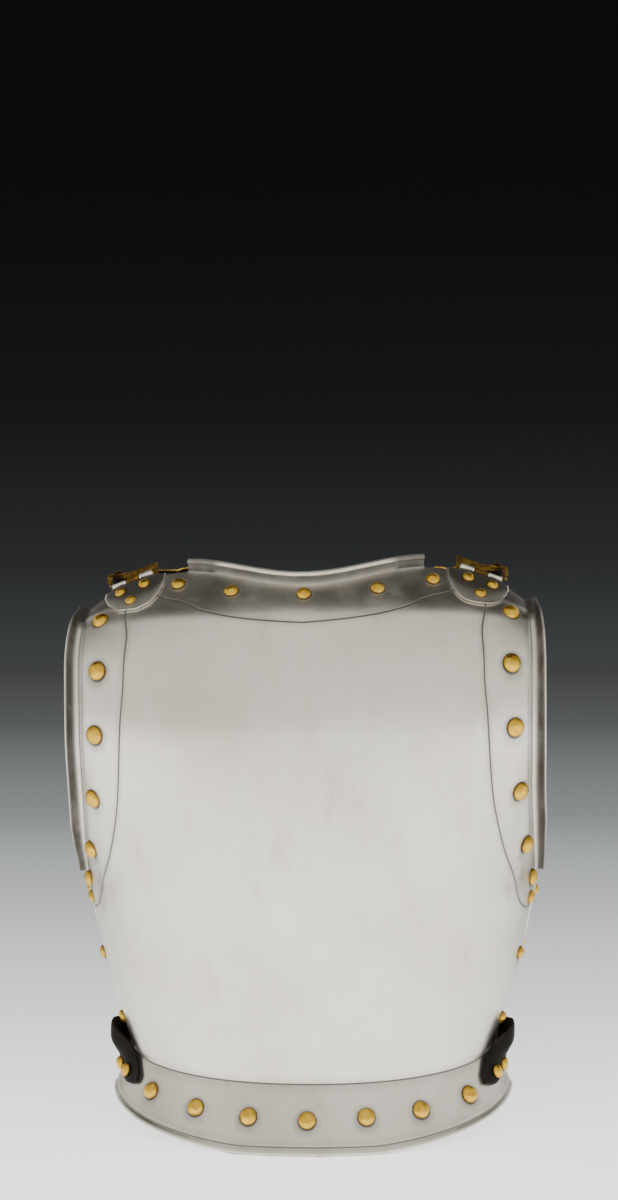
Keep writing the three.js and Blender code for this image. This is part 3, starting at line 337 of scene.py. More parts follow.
def rod(a, b, dia, sides=28, bevel=0.4):
    """Round bar between two points, its end edges broken."""
    a, b = np.asarray(a, float), np.asarray(b, float)
    length = float(np.linalg.norm(b - a))
    r = dia / 2
    profile = [(0, 0), (r - bevel, 0), (r, bevel), (r, length - bevel), (r - bevel, length), (0, length)]
    verts, faces = lathe(profile, sides)
    return placed(verts, a, (b - a) / length), faces


def rivet(point, axis, dia, rng, dome=RIVET_DOME, sides=28):
    """Hammered dome: a low foot, a round crown and shallow flats."""
    foot = 0.035 * dia
    steps = 9
    profile = [(0, 0), (dia / 2, 0), (dia / 2, foot)]
    height = dome * dia * 1.08 - foot
    for k in range(1, steps):
        a = pi / 2 * k / steps
        profile.append((dia / 2 * cos(a) ** 0.9, foot + height * sin(a)))
    profile.append((0, foot + height))
    verts, faces = lathe(profile, sides)
    for _ in range(7):
        way = unit(np.array([rng.normal(), rng.normal(), abs(rng.normal()) + 0.6]))
        reach = verts @ way
        limit = reach.max() - rng.uniform(0.02, 0.05) * dia
        top = verts[:, 2] > foot * 1.5
        over = np.where(top, np.maximum(0, reach - limit), 0)
        verts = verts - way * (over * 0.75)[:, None]
    return placed(verts, point, axis), faces


# Materials
def new_material(name):
    mat = bpy.data.materials.new(name)
    mat.use_nodes = True
    tree = mat.node_tree
    return mat, tree, tree.nodes["Principled BSDF"]


def add(tree, kind, inputs=None, **props):
    """A node with its properties set and its inputs set or linked."""
    node = tree.nodes.new(kind)
    for key, value in props.items():
        setattr(node, key, value)
    for key, value in (inputs or {}).items():
        if isinstance(value, bpy.types.NodeSocket):
            tree.links.new(value, node.inputs[key])
        else:
            node.inputs[key].default_value = value
    return node


def noise(tree, coords, scale, detail=4, stretch=(1, 1, 1), rough=0.55):
    mapping = add(tree, "ShaderNodeMapping", {"Vector": coords, "Scale": stretch})
    return add(tree, "ShaderNodeTexNoise", {
        "Vector": mapping.outputs[0], "Scale": scale, "Detail": detail, "Roughness": rough}).outputs["Fac"]


def ramp(tree, value, low, high, to_low=0.0, to_high=1.0):
    node = add(tree, "ShaderNodeMapRange", {
        "Value": value, "From Min": low, "From Max": high, "To Min": to_low, "To Max": to_high})
    node.interpolation_type = "SMOOTHSTEP"
    return node.outputs["Result"]


def math(tree, operation, a, b=0.0, clamp=False):
    return add(tree, "ShaderNodeMath", {0: a, 1: b}, operation=operation, use_clamp=clamp).outputs[0]


def mix(tree, factor, a, b):
    node = add(tree, "ShaderNodeMix", {"Factor": factor}, data_type="RGBA")
    for key, value in (("A", a), ("B", b)):
        socket = next(s for s in node.inputs if s.name == key and s.type == "RGBA")
        if isinstance(value, bpy.types.NodeSocket):
            tree.links.new(value, socket)
        else:
            socket.default_value = (*value, 1)
    return next(s for s in node.outputs if s.type == "RGBA")


def bump(tree, height, strength, distance, normal=None):
    inputs = {"Height": height, "Strength": strength, "Distance": distance}
    if normal is not None:
        inputs["Normal"] = normal
    return add(tree, "ShaderNodeBump", inputs).outputs[0]


def attribute(tree, name):
    return add(tree, "ShaderNodeAttribute", attribute_name=name).outputs["Fac"]


def steel_material(name, worked=False, painted_face_shade=False):
    """Satin-polished steel: faint brown patina, polishing streaks, pits; where worked, grime with painted
    shade and dark reflections at creases, rivets, borders and shoulders; on shields, painted shade.
    """
    mat, tree, shader = new_material(name)
    coords = add(tree, "ShaderNodeTexCoord").outputs["Object"]
    cloud = noise(tree, coords, 9, 5)
    patch = noise(tree, coords, 30, 6, (1, 1, 0.5), 0.65)
    streak = noise(tree, coords, 90, 5, (1, 1, 0.08))
    brushed = noise(tree, coords, 420, 3, (1, 1, 0.03))
    fine = noise(tree, coords, 700, 3)
    colour = mix(tree, ramp(tree, cloud, 0.35, 0.65), (0.72, 0.672, 0.572), (0.835, 0.79, 0.698))
    colour = mix(tree, ramp(tree, patch, 0.52, 0.74, 0, 0.42), colour, (0.60, 0.52, 0.41))
    colour = mix(tree, ramp(tree, streak, 0.5, 0.75, 0, 0.35), colour, (0.84, 0.83, 0.80))
    pits = math(tree, "MULTIPLY", ramp(tree, fine, 0.70, 0.76), ramp(tree, patch, 0.52, 0.62))
    dirt_and_shade = math(tree, "MULTIPLY", pits, 0.75)
    normal_height = None
    if worked:
        broken = ramp(tree, noise(tree, coords, 60, 4), 0.3, 0.7, 0.45, 1.0)
        from_line = math(tree, "ABSOLUTE", attribute(tree, "engraving"))
        line = ramp(tree, from_line, 0.45, 1.15, 0.95, 0)
        line_halo = ramp(tree, from_line, 0.5, 6.0, 0.25, 0)
        # Grime and painted shade round the rivet heads, reaching further below them
        ring = ramp(tree, attribute(tree, "rivet_edge"), 0.5, 2.1, 0.97, 0)
        ring_halo = ramp(tree, attribute(tree, "rivet_edge"), 0.2, 7.0, 0.52, 0)
        # Painted shade along the waist crease and in the groove of the skirt's rolled rim
        crease = ramp(tree, attribute(tree, "crease"), 0.3, 1.3, 0.95, 0)
        crease_halo = ramp(tree, attribute(tree, "crease"), 0.8, 9.0, 0.24, 0)
        # Painted shade along the armhole and neck borders, and painted shade from ambient occlusion where
        # parts meet
        edge = ramp(tree, attribute(tree, "border"), 0.0, 5.0, 0.35, 0)
        # Painted shade and dark reflections, striped across the borders and over the shoulder tops
        painted_border_shade = math(tree, "MULTIPLY", attribute(tree, "painted_border_shade"), ramp(tree, patch, 0.30, 0.55, 0.86, 1.0))
        occlusion = add(tree, "ShaderNodeAmbientOcclusion", {"Distance": 0.006}, samples=4).outputs["AO"]
        edge = math(tree, "MAXIMUM", edge, ramp(tree, occlusion, 0.35, 0.85, 0.8, 0))
        inside = attribute(tree, "inside")
        sharp = math(tree, "MAXIMUM", math(tree, "MAXIMUM", line, ring), crease)
        soft = math(tree, "MAXIMUM", math(tree, "MAXIMUM", line_halo, ring_halo),
                    math(tree, "MAXIMUM", crease_halo, edge))
        soft = math(tree, "MAXIMUM", math(tree, "MULTIPLY", soft, broken), painted_border_shade)
        dirt_and_shade = math(tree, "MAXIMUM", math(tree, "MAXIMUM", math(tree, "MULTIPLY", sharp, 0.93), soft), dirt_and_shade)
        dirt_and_shade = math(tree, "MAXIMUM", dirt_and_shade, math(tree, "MULTIPLY", inside, 0.42))
        rust = math(tree, "MULTIPLY", attribute(tree, "rust"), ramp(tree, patch, 0.42, 0.6))
        colour = mix(tree, math(tree, "MULTIPLY", rust, 0.55), colour, (0.34, 0.20, 0.11))
        normal_height = math(tree, "MULTIPLY", line, -1.0)
    # Painted shade on the shoulder shields, read from their attribute
    if painted_face_shade:
        dirt_and_shade = math(tree, "MAXIMUM", dirt_and_shade, attribute(tree, "darkening"))
    # Darken the colour by pits and grime together with the painted shade
    colour = mix(tree, dirt_and_shade, colour, (0.035, 0.028, 0.022))
    tree.links.new(colour, shader.inputs["Base Color"])
    metal = ramp(tree, dirt_and_shade, 0.15, 0.9, 1.0, 0.35)
    tree.links.new(metal, shader.inputs["Metallic"])
    rough = math(tree, "ADD", ramp(tree, cloud, 0.3, 0.7, 0.27, 0.37), ramp(tree, patch, 0.5, 0.75, 0, 0.08))
    rough = math(tree, "ADD", rough, math(tree, "MULTIPLY", dirt_and_shade, 0.12), clamp=True)
    tree.links.new(rough, shader.inputs["Roughness"])
    height = math(tree, "ADD", math(tree, "MULTIPLY", brushed, 0.5), math(tree, "MULTIPLY", streak, 0.5))
    normal = bump(tree, height, 0.10, 0.0006)
    normal = bump(tree, cloud, 0.22, 0.006, normal)
    normal = bump(tree, noise(tree, coords, 7, 2, (1, 1, 0.3)), 0.30, 0.02, normal)
    normal = bump(tree, math(tree, "MULTIPLY", pits, -1.0), 0.5, 0.0003, normal)
    if normal_height is not None:
        normal = bump(tree, normal_height, 0.3, 0.0004, normal)
    tree.links.new(normal, shader.inputs["Normal"])
    return mat


def brass_material(name, grain, browned=0.0):
    """Old golden brass: bright crowns, hollows painted dark brown as shade; grain is the depth of its
    hammering.
    """
    mat, tree, shader = new_material(name)
    coords = add(tree, "ShaderNodeTexCoord").outputs["Object"]
    patch = noise(tree, coords, 160, 5)
    fine = noise(tree, coords, 900, 3)
    colour = mix(tree, ramp(tree, patch, 0.35, 0.65), (0.66, 0.385, 0.038), (0.80, 0.505, 0.065))
    darkening = ramp(tree, fine, 0.62, 0.75, 0, 0.6)
    # Painted shade: the hollows and the feet of the heads darkened from ambient occlusion
    cavity = add(tree, "ShaderNodeAmbientOcclusion", {"Distance": 0.004}, samples=6).outputs["AO"]
    dark = math(tree, "MAXIMUM", ramp(tree, cavity, 0.50, 1.0, 0.95, 0), darkening)
    if browned:
        dark = math(tree, "MAXIMUM", dark, ramp(tree, patch, 0.42, 0.66, browned, 0.72))
    colour = mix(tree, dark, colour, (0.10, 0.055, 0.018))
    tree.links.new(colour, shader.inputs["Base Color"])
    shader.inputs["Metallic"].default_value = 1
    rough = math(tree, "ADD", ramp(tree, patch, 0.3, 0.7, 0.33, 0.43), math(tree, "MULTIPLY", dark, 0.25))
    tree.links.new(rough, shader.inputs["Roughness"])
    tree.links.new(bump(tree, noise(tree, coords, 330, 3), grain, 0.0006), shader.inputs["Normal"])
    return mat


def leather_material(name):
    """Nearly black strap leather: pore grain, creases, brown rubbed edges."""
    mat, tree, shader = new_material(name)
    coords = add(tree, "ShaderNodeTexCoord").outputs["Object"]
    patch = noise(tree, coords, 40, 6, rough=0.65)
    pores = add(tree, "ShaderNodeTexVoronoi", {"Vector": coords, "Scale": 900.0}).outputs["Distance"]
    crease = noise(tree, coords, 120, 5, (1, 1, 0.35), 0.7)
    colour = mix(tree, ramp(tree, patch, 0.35, 0.7), (0.0030, 0.0022, 0.0014), (0.0085, 0.0058, 0.0030))
    pointy = add(tree, "ShaderNodeNewGeometry").outputs["Pointiness"]
    worn = math(tree, "MULTIPLY", ramp(tree, pointy, 0.52, 0.60), ramp(tree, crease, 0.4, 0.65))
    colour = mix(tree, math(tree, "MULTIPLY", worn, 0.6), colour, (0.055, 0.034, 0.015))
    tree.links.new(colour, shader.inputs["Base Color"])
    tree.links.new(ramp(tree, patch, 0.3, 0.7, 0.46, 0.66), shader.inputs["Roughness"])
    shader.inputs["Specular IOR Level"].default_value = 0.16
    normal = bump(tree, pores, 0.35, 0.0003)
    normal = bump(tree, crease, 0.4, 0.0009, normal)
    tree.links.new(normal, shader.inputs["Normal"])
    return mat


# Plate steel with grime and painted shade; shield steel with painted shade on its face
WORKED_STEEL = steel_material("satin_steel_with_grime_and_painted_shade", worked=True)
SHIELD_STEEL = steel_material("shield_steel_with_painted_shade", painted_face_shade=True)
BRASS = brass_material("hammered_brass", 0.45)
SHEET_BRASS = brass_material("sheet_brass", 0.12)
BROWNED_BRASS = brass_material("browned_brass", 0.2, 0.94)
LEATHER = leather_material("strap_leather")
STEEL_SLOT, BRASS_SLOT, LEATHER_SLOT = "polished_steel", "rivet_brass", "dark_leather"
rng = np.random.default_rng(SEED)

# Border profiles: reach along the plate and height out of it, in millimetres
ARM_FILLET = [(0.0, 0.0), (1.5, 0.30), (3.0, 0.9), (4.3, 1.9), (5.3, 3.1), (6.0, 4.7), (6.4, 6.4), (6.5, 7.8)]
ARM_BEAD = dict(centre=(8.1, 8.1), radius=1.6, start=190, end=-60)
NECK_FILLET = [(0.0, 0.0), (1.4, 0.3), (2.6, 0.8), (3.8, 1.7), (4.6, 2.8), (5.0, 4.0)]
NECK_BEAD = dict(centre=(6.6, 5.6), radius=2.3, start=235, end=-20)


# Painted shade and dark reflections across the armhole border, as stripes by row from the plate outwards
ARM_SHADE = [
    (0, 0.85), (1, 0.1), (2, 0.35), (3, 0.85), (4, 0.97), (8, 0.99), (10, 0.85), (11, 0.10), (12, 0.0),
    (13, 0.65), (15, 0.92), (18, 0.95)]
# Painted shade and dark reflections across the neck border, by share of its width
NECK_SHADE = [(0, 0.5), (0.15, 0.95), (0.35, 0.85), (0.48, 0.2), (0.62, 0.0), (0.8, 0.5), (1, 0.8)]
RUST_REACH = 34


def border_profile(fillet, bead, wall, steps=12):
    """Outer and inner rows of a turned border: the fillet, then the rolled bead."""
    outer = np.array(fillet)
    slope = np.gradient(outer, axis=0)
    normal = unit(np.stack([-slope[:, 1], slope[:, 0]], -1))
    inner = outer - normal * wall
    centre = np.array(bead["centre"])
    angles = np.radians(np.linspace(bead["start"], bead["end"], steps))
    ring = np.stack([np.cos(angles), np.sin(angles)], -1)
    outer = np.concatenate([outer, centre + ring * bead["radius"]])
    inner = np.concatenate([inner, centre + ring * 0.25 * bead["radius"]])
    return outer[1:], inner[1:]


def polyline_distance(points, line):
    """Distance of each point from a line of points."""
    best = np.full(len(points), 1e3)
    for a, b in zip(line, line[1:]):
        span = b - a
        t = np.clip((points - a) @ span / (span @ span), 0, 1)
        best = np.minimum(best, np.linalg.norm(points - (a + t[:, None] * span), axis=1))
    return best


def resample(rows, count):
    """Smoothly spaced rows of a two-column table, by its own length."""
    rows = np.array(rows, float)
    step = np.concatenate([[0], np.cumsum(np.linalg.norm(np.diff(rows, axis=0), axis=1))])
    table = np.column_stack([step, rows])
    return smooth_table(table, np.linspace(0, step[-1], count))


def fine_plate(plate, rivets, engraved):
    """A whole plate: skirt with rolled rim, body, turned armhole and neck borders."""
    end = neck_end(plate)
    near_edge = 0.965
    half = np.concatenate([
        np.linspace(0, end, 48), np.linspace(end, near_edge, 42)[1:], np.linspace(near_edge, 1, 7)[1:]])
    stations = np.concatenate([-half[:0:-1], half])
    levels = np.unique(np.concatenate([
        np.linspace(0, 0.06, 14), np.linspace(0.06, UNDERARM, 46), np.linspace(UNDERARM, 0.9, 58),
        np.linspace(0.9, 1, 22)]))
    falls = np.array([
        1.0, 0.995, 0.985, 0.97, 0.955, 0.94, 0.92, 0.905, 0.892, 0.882, 0.872, 0.862, 0.85,
        0.82, 0.78, 0.72, 0.65, 0.57, 0.49, 0.41, 0.33, 0.25, 0.18, 0.12, 0.07, 0.035, 0.012])
    rim_outer = np.array([
        20.9, 22.0, 22.9, 23.5, 23.6, 23.4, 22.8, 21.9, 20.9, 20.3, 20.1, 20.05, 19.95])
    rim_rows, skirt_wall, rim_wall = len(rim_outer), 1.6, 3.8
    reach = np.concatenate([rim_outer, skirt_outer(falls[rim_rows:])])
    thick = np.concatenate([
        np.linspace(2.2, rim_wall, 4), np.linspace(rim_wall, skirt_wall, 9),
        np.full(len(falls) - rim_rows, skirt_wall)])
    arm_out, arm_in = border_profile(ARM_FILLET, ARM_BEAD, plate["wall"])
    neck_out, neck_in = border_profile(NECK_FILLET, NECK_BEAD, plate["wall"])
    cols = len(stations)
    side_cols = len(arm_out)

    def borders(level, rows):
        found = []
        for end_sign in (-1, 1):
            point, side, up, out = body_frame(plate, end_sign, level)
            away = side * end_sign
            away = away - up * (away * up).sum(-1, keepdims=True)
            away = unit(away)
            share = np.interp(level, [UNDERARM, 0.52, 0.9, 1.0], [plate["border_start"], 1, 1, 0.8])
            share = share[:, None]
            found.append(np.stack([point + away * r * share + out * h * share for r, h in rows], 1))
        return found[0][:, ::-1], found[1]

    body_mid = body(plate, stations[None, :], levels[:, None])
    _, _, _, body_out = body_frame(plate, stations[None, :], levels[:, None])
    arm_left, arm_right = borders(levels, arm_out)
    arm_left_in, arm_right_in = borders(levels, arm_in)
    body_rows = np.concatenate([arm_left, body_mid, arm_right], 1)
    body_inner = np.concatenate([arm_left_in, body_mid - body_out * plate["wall"], arm_right_in], 1)

    def pad(grid):
        left = np.repeat(grid[:, :1], side_cols, 1)
        right = np.repeat(grid[:, -1:], side_cols, 1)
        return np.concatenate([left, grid, right], 1)

    skirt = np.stack([skirt_point(plate, stations, f, np.full(cols, r)) for f, r in zip(falls, reach)])
    skirt_in = np.stack([skirt_point(plate, stations, f, np.full(cols, r - t))
                         for f, r, t in zip(falls, reach, thick)])
    top_point, top_side, top_up, top_out = body_frame(plate, stations, 1.0)
    upward = unit(top_up - top_side * (top_up * top_side).sum(-1, keepdims=True))
    neck = np.stack([top_point + upward * r + top_out * h for r, h in neck_out])
    neck_inner = np.stack([top_point + upward * r + top_out * h for r, h in neck_in])
    outer = np.concatenate([pad(skirt), body_rows, pad(neck)])
    inner = np.concatenate([pad(skirt_in), body_inner, pad(neck_inner)])
    row_level = np.concatenate([np.full(len(falls), -1.0), levels, np.full(len(neck), 2.0)])
    col_place = np.concatenate([np.full(side_cols, -2.0), stations, np.full(side_cols, 2.0)])
    rows, columns = len(row_level), len(col_place)
    cells = np.zeros((rows - 1, columns - 1), bool)
    on_body_cols = (np.abs(col_place[:-1]) <= 1) & (np.abs(col_place[1:]) <= 1)
    neck_cols = on_body_cols & (np.maximum(np.abs(col_place[:-1]), np.abs(col_place[1:])) <= end + 1e-6)
    for i in range(rows - 1):
        low = row_level[i]
        if row_level[i + 1] > 1.5:
            cells[i] = neck_cols
        elif low >= UNDERARM - 1e-6:
            cells[i] = True
        else:
            cells[i] = on_body_cols
    verts, faces, used = sheet(outer, inner, cells)
    flat = outer.reshape(-1, 3)
    values = {
        "engraving": np.full(len(flat), 50.0), "rivet_edge": np.full(len(flat), 50.0),
        "crease": np.full(len(flat), 50.0), "border": np.full(len(flat), 50.0), "rust": np.zeros(len(flat)),
    }
    for line, within in engraved:
        inside = within(np.tile(col_place, rows), np.repeat(row_level, columns))
        distance = polyline_distance(flat, line)
        signed = np.where(inside, -distance, distance)
        values["engraving"] = np.where(distance < np.abs(values["engraving"]), signed, values["engraving"])
    # Distance from each rivet head, stretched above it so that the grime and painted shade round it reach
    # further below
    for centre, dia in rivets:
        from_centre = np.linalg.norm(flat - centre, axis=1)
        above = (flat[:, 2] - centre[2]) / np.maximum(from_centre, 1e-6)
        from_head = (from_centre - dia / 2) * (1.15 + 0.55 * above)
        values["rivet_edge"] = np.minimum(values["rivet_edge"], from_head)
    # Distance from the waist crease and the rim's groove, for their painted shade
    crease_line = body(plate, stations, 0.0)
    values["crease"] = polyline_distance(flat, crease_line)
    groove = skirt_point(plate, stations, 0.868, np.full(cols, 20.0))
    values["crease"] = np.minimum(values["crease"], polyline_distance(flat, groove) + 0.1)
    # Distance from the armhole and neck edges, for their painted shade; and a rust spot on each side
    for sign in (-1, 1):
        arm_edge = body(plate, sign, levels[levels >= UNDERARM])
        values["border"] = np.minimum(values["border"], polyline_distance(flat, arm_edge))
        spot = body(plate, sign * 0.84, 0.42)
        near_spot = 1 - np.linalg.norm(flat - spot, axis=1) / RUST_REACH
        values["rust"] = np.maximum(values["rust"], np.clip(near_spot, 0, 1))
    neck_edge = body(plate, stations[np.abs(stations) <= end], 1.0)
    values["border"] = np.minimum(values["border"], polyline_distance(flat, neck_edge))
    # Painted shade and dark reflections: stripes across the armhole borders, a dark cap over the shoulder
    # tops, the armhole borders dark near their tops, and the neck lip darker towards its ends
    shade = np.interp(np.arange(side_cols), *np.transpose(ARM_SHADE))
    reach_across, height_share = np.abs(col_place)[None, :], row_level[:, None]
    shoulder = np.clip((height_share - 0.957) / 0.012, 0, 1) * np.clip((reach_across - 0.66) / 0.04, 0, 1)
    painted_border_shade = np.where((height_share <= 1) & (reach_across <= 1), 0.97 * shoulder, 0.0)
    painted_border_shade[:, :side_cols] = shade[::-1]
    painted_border_shade[:, -side_cols:] = shade
    near_top = 0.95 * np.clip((height_share - 0.925) / 0.03, 0, 1)
    painted_border_shade = np.where(reach_across > 1, np.maximum(painted_border_shade, near_top), painted_border_shade)
    lip_rows = len(neck_out)
    lip = np.interp(np.linspace(0, 1, lip_rows), *np.transpose(NECK_SHADE))[:, None]
    lip_end = np.clip((reach_across - (end - 0.16)) / 0.05, 0, 1) * np.linspace(0.95, 0.7, lip_rows)[:, None]
    painted_border_shade[-lip_rows:] = np.maximum(lip, lip_end)
    values["painted_border_shade"] = painted_border_shade.ravel()
    both = {key: np.concatenate([v, np.full(len(v), 0.0 if key in ("rust", "painted_border_shade") else 50.0)])[used]
            for key, v in values.items()}
    both["inside"] = np.concatenate([np.zeros(len(flat)), np.ones(len(flat))])[used]
    return verts, faces, both


# Rivets that the frame holds: their foot, axis and diameter read off each node
def rivet_pose(node):
    points = np.array([v.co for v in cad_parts[node].data.vertices]) / MM - OFFSET
    points = np.unique(points.round(4), axis=0)
    distance = np.linalg.norm(points - points.mean(0), axis=1)
    order = np.argsort(distance)
    foot, crown = points[order[-8:]], points[order[:8]]
    middle = foot.mean(0)
    axis = unit(crown.mean(0) - middle)
    dia = 2 * float(np.linalg.norm(foot - middle, axis=1).mean())
    return middle, axis, dia


back_rivets = []
for node in sorted(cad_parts):
    if "_rivet_" not in node:
        continue
    middle, axis, dia = rivet_pose(node)
    seat = middle - axis * GAP
    verts, faces = rivet(seat, axis, dia, rng)
    piece = to_mesh(f"{node}_head", verts, faces, BRASS_SLOT, BRASS, sharp=50)
    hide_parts(node)
    if "belt" not in node:
        back_rivets.append((seat, dia))

arm_line = resample(ARM_LINE, 120)
neck_line = resample(NECK_LINE, 60)


def beside_arm(across, level):
    """True beyond the line round the armhole."""
    limit = np.interp(level, arm_line[::-1, 0], arm_line[::-1, 1])
    return (np.abs(across) > limit) & (level >= arm_line[-1, 0])


def near_neck(across, level):
    """True above the line round the neck."""
    return level > np.interp(np.abs(across), neck_line[:, 0], neck_line[:, 1])


engraved = [(body(BACK, sign * arm_line[:, 1], arm_line[:, 0]), beside_arm) for sign in (-1, 1)]
engraved += [(body(BACK, sign * neck_line[:, 0], neck_line[:, 1]), near_neck) for sign in (-1, 1)]
verts, faces, values = fine_plate(BACK, back_rivets, engraved)
backplate = to_mesh("backplate_steel", verts, faces, STEEL_SLOT, WORKED_STEEL, attributes=values)
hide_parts("backplate")

# Breastplate and its rivets
breast_seats = []
for across, level, dia in BREAST_RIVETS:
    for sign in ((-1, 1) if across else (1,)):
        point, _, _, out = body_frame(BREAST, sign * across, level)
        breast_seats.append((point, out, dia))
for across, fall, dia in BREAST_SKIRT_RIVETS:
    for sign in ((-1, 1) if across else (1,)):
        step = 0.02
        grid = [
            skirt_point(BREAST, np.array(sign * across + da), fall + df, np.array(skirt_outer(fall + df)))
            for da, df in ((0, 0), (step, 0), (0, -step))]
        out = unit(np.cross(grid[1] - grid[0], grid[2] - grid[0]))
        out = out * np.sign(out[:2] @ grid[0][:2])
        breast_seats.append((grid[0], out, dia))
breast_heads = merged([rivet(point, out, dia, rng) for point, out, dia in breast_seats])
to_mesh("breastplate_rivet_heads", *breast_heads, BRASS_SLOT, BRASS, sharp=50)
verts, faces, values = fine_plate(BREAST, [(point, dia) for point, _, dia in breast_seats], [
    (body(BREAST, sign * arm_line[:, 1], arm_line[:, 0]), beside_arm) for sign in (-1, 1)])
breastplate = to_mesh("breastplate_steel", verts, faces, STEEL_SLOT, WORKED_STEEL, attributes=values)
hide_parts("breastplate")


# Shoulder plates, hinges and straps
plate_middle = neck_end(BACK) + (1 - neck_end(BACK)) * PLATE_MIDDLE
span = 0.05
chord = body(BACK, plate_middle + span, 1.0) - body(BACK, plate_middle - span, 1.0)
per_across = float(np.linalg.norm(chord)) / (2 * span)


def plate_across(share):
    return plate_middle + share * HINGE_LENGTH / per_across


def up_from_top(side, up):
    return unit(up - side * (up * side).sum(-1, keepdims=True))


def hinge_point(end, share):
    point, side, up, out = body_frame(BACK, end * plate_across(share), 1.0)
    return point + up_from_top(side, up) * HINGE_STANDOFF + out * (PLATE_SEAT + PLATE_THICK / 2), out


def hinge_axis(end):
    a, b = hinge_point(end, -0.5)[0], hinge_point(end, 0.5)[0]
    return (a + b) / 2, unit(b - a)


def along_hinge(end, share):
    middle, way = hinge_axis(end)
    return middle + way * HINGE_LENGTH * (share - 0.5)


def shoulder_plate(name, end):
    """Steel shield with a rounded rim, its two hinge knuckles and the lugs that carry them."""
    outline = resample(PLATE_OUTLINE[name], 33) if name == "right" else np.array(
        [(np.interp(t, np.arange(7), [p[0] for p in PLATE_OUTLINE[name]]),
          np.interp(t, np.arange(7), [p[1] for p in PLATE_OUTLINE[name]])) for t in np.linspace(0, 6, 37)])
    shares = np.linspace(0, 1, 12)
    low_level = 1 - PLATE_COVER * outline[:, 1]
    level = low_level[None, :] + (1 - low_level[None, :]) * shares[:, None]
    point, _, _, out = body_frame(BACK, end * plate_across(outline[:, 0])[None, :], level)
    u = np.minimum(shares[:, None] * 6, 1) * np.ones_like(level)
    side_distance = np.minimum(np.arange(len(outline)), np.arange(len(outline))[::-1])[None, :] / 3
    rim = np.sqrt(np.clip(1 - (1 - np.clip(np.minimum(u + 0.25, side_distance + 0.25), 0, 1)) ** 2, 0, 1))
    crown = PLATE_SEAT + 0.6 + (PLATE_THICK - 0.6) * rim
    parts = [sheet(point + out * crown[..., None], point + out * PLATE_SEAT)[:2]]
    # Painted shade: the face darker towards the hinge, the rounded rim left bright
    face = np.clip((rim - 0.86) / 0.12, 0, 1)
    darkening = [(face * (0.5 + 0.46 * np.clip(shares / 0.5, 0, 1)[:, None])).ravel(), np.zeros(face.size)]
    for a, b, lug_a, lug_b in ((0, 0.335, -0.51, -0.21), (0.665, 1, 0.21, 0.51)):
        parts.append(rod(along_hinge(end, a), along_hinge(end, b), KNUCKLE_DIA))
        spread = np.linspace(lug_a, lug_b, 6)
        base, side, up, away = body_frame(BACK, end * plate_across(spread), 0.998)
        rise = up_from_top(side, up)
        steps = np.linspace(0, HINGE_STANDOFF, 4)[:, None, None]
        top = base[None] + rise[None] * steps + away[None] * (PLATE_SEAT + PLATE_THICK)
        low = base[None] + rise[None] * steps + away[None] * PLATE_SEAT
        parts.append(sheet(top, low)[:2])
        # The lugs under the knuckles painted dark as shade
        darkening += [np.zeros(len(parts[-2][0])), np.full(len(parts[-1][0]), 0.85)]
    return (*merged(parts), np.concatenate(darkening))


def catmull_rom(points, steps=30):
    """Dense points of a centripetal Catmull-Rom curve through all points."""
    p = [2 * points[0] - points[1], *points, 2 * points[-1] - points[-2]]
    found = []
    for k in range(1, len(p) - 2):
        d0, d1, d2 = (np.sqrt(np.linalg.norm(p[k + i] - p[k + i - 1])) for i in range(3))
        t1 = ((p[k] - p[k - 1]) / d0 - (p[k + 1] - p[k - 1]) / (d0 + d1) + (p[k + 1] - p[k]) / d1) * d1
        t2 = ((p[k + 1] - p[k]) / d1 - (p[k + 2] - p[k]) / (d1 + d2) + (p[k + 2] - p[k + 1]) / d2) * d1
        t = np.linspace(0, 1, steps, endpoint=False)[:, None]
        found.append((2 * t**3 - 3 * t**2 + 1) * p[k] + (t**3 - 2 * t**2 + t) * t1
                     + (3 * t**2 - 2 * t**3) * p[k + 1] + (t**3 - t**2) * t2)
    return np.concatenate([*found, [points[-1]]])


class StrapWay:
    """Way of a shoulder strap: the leather's upper face from the hinge to the breastplate."""

    def __init__(self, end):
        middle, way = hinge_axis(end)
        rise = radians(STRAP_RISE)
        ahead, above = np.array([0, cos(rise), sin(rise)]), np.array([0, -sin(rise), cos(rise)])
        start = middle + above * (-GAP - LEAF_THICK / 2)
        lift = STRAP_THICK + 2 * GAP
        landing = [off_body(BREAST, end * STRAP_ACROSS, level, lift + share * RIM_CLEARANCE)
                   for level, share in STRAP_LANDING]
        crest = [start + (landing[0] - start) * share + np.array([end * STRAP_BOW, 0, STRAP_CREST]) * height
                 for share, height in STRAP_CREST_WAY]
        self.curve = catmull_rom([start, start + ahead * STRAP_LEAD, *crest, *landing])
        self.steps = np.concatenate([[0], np.cumsum(np.linalg.norm(np.diff(self.curve, axis=0), axis=1))])
        self.length = float(self.steps[-1])
        self.across = way * end
        _, side, _, _ = body_frame(BREAST, end * STRAP_ACROSS, STRAP_LANDING[1][0])
        self.across_breast = side * (1 if side[0] > 0 else -1)

    def at(self, distance):
        point = np.array([np.interp(distance, self.steps, self.curve[:, k]) for k in range(3)])
        ahead = np.array([np.interp(distance + 0.5, self.steps, self.curve[:, k]) for k in range(3)])
        behind = np.array([np.interp(distance - 0.5, self.steps, self.curve[:, k]) for k in range(3)])
        tangent = unit(ahead - behind)
        share = min(max(distance / self.length, 0), 1)
        side = self.across + (self.across_breast - self.across) * share
        side = unit(side - tangent * (side @ tangent))
        return point, side, unit(np.cross(side, tangent))

    def grid(self, distances, widths_at, lift_at):
        rows = []
        for i, distance in enumerate(distances):
            point, side, out = self.at(distance)
            rows.append([point + side * w + out * lift_at(i, j) for j, w in enumerate(widths_at(i))])
        return np.array(rows)


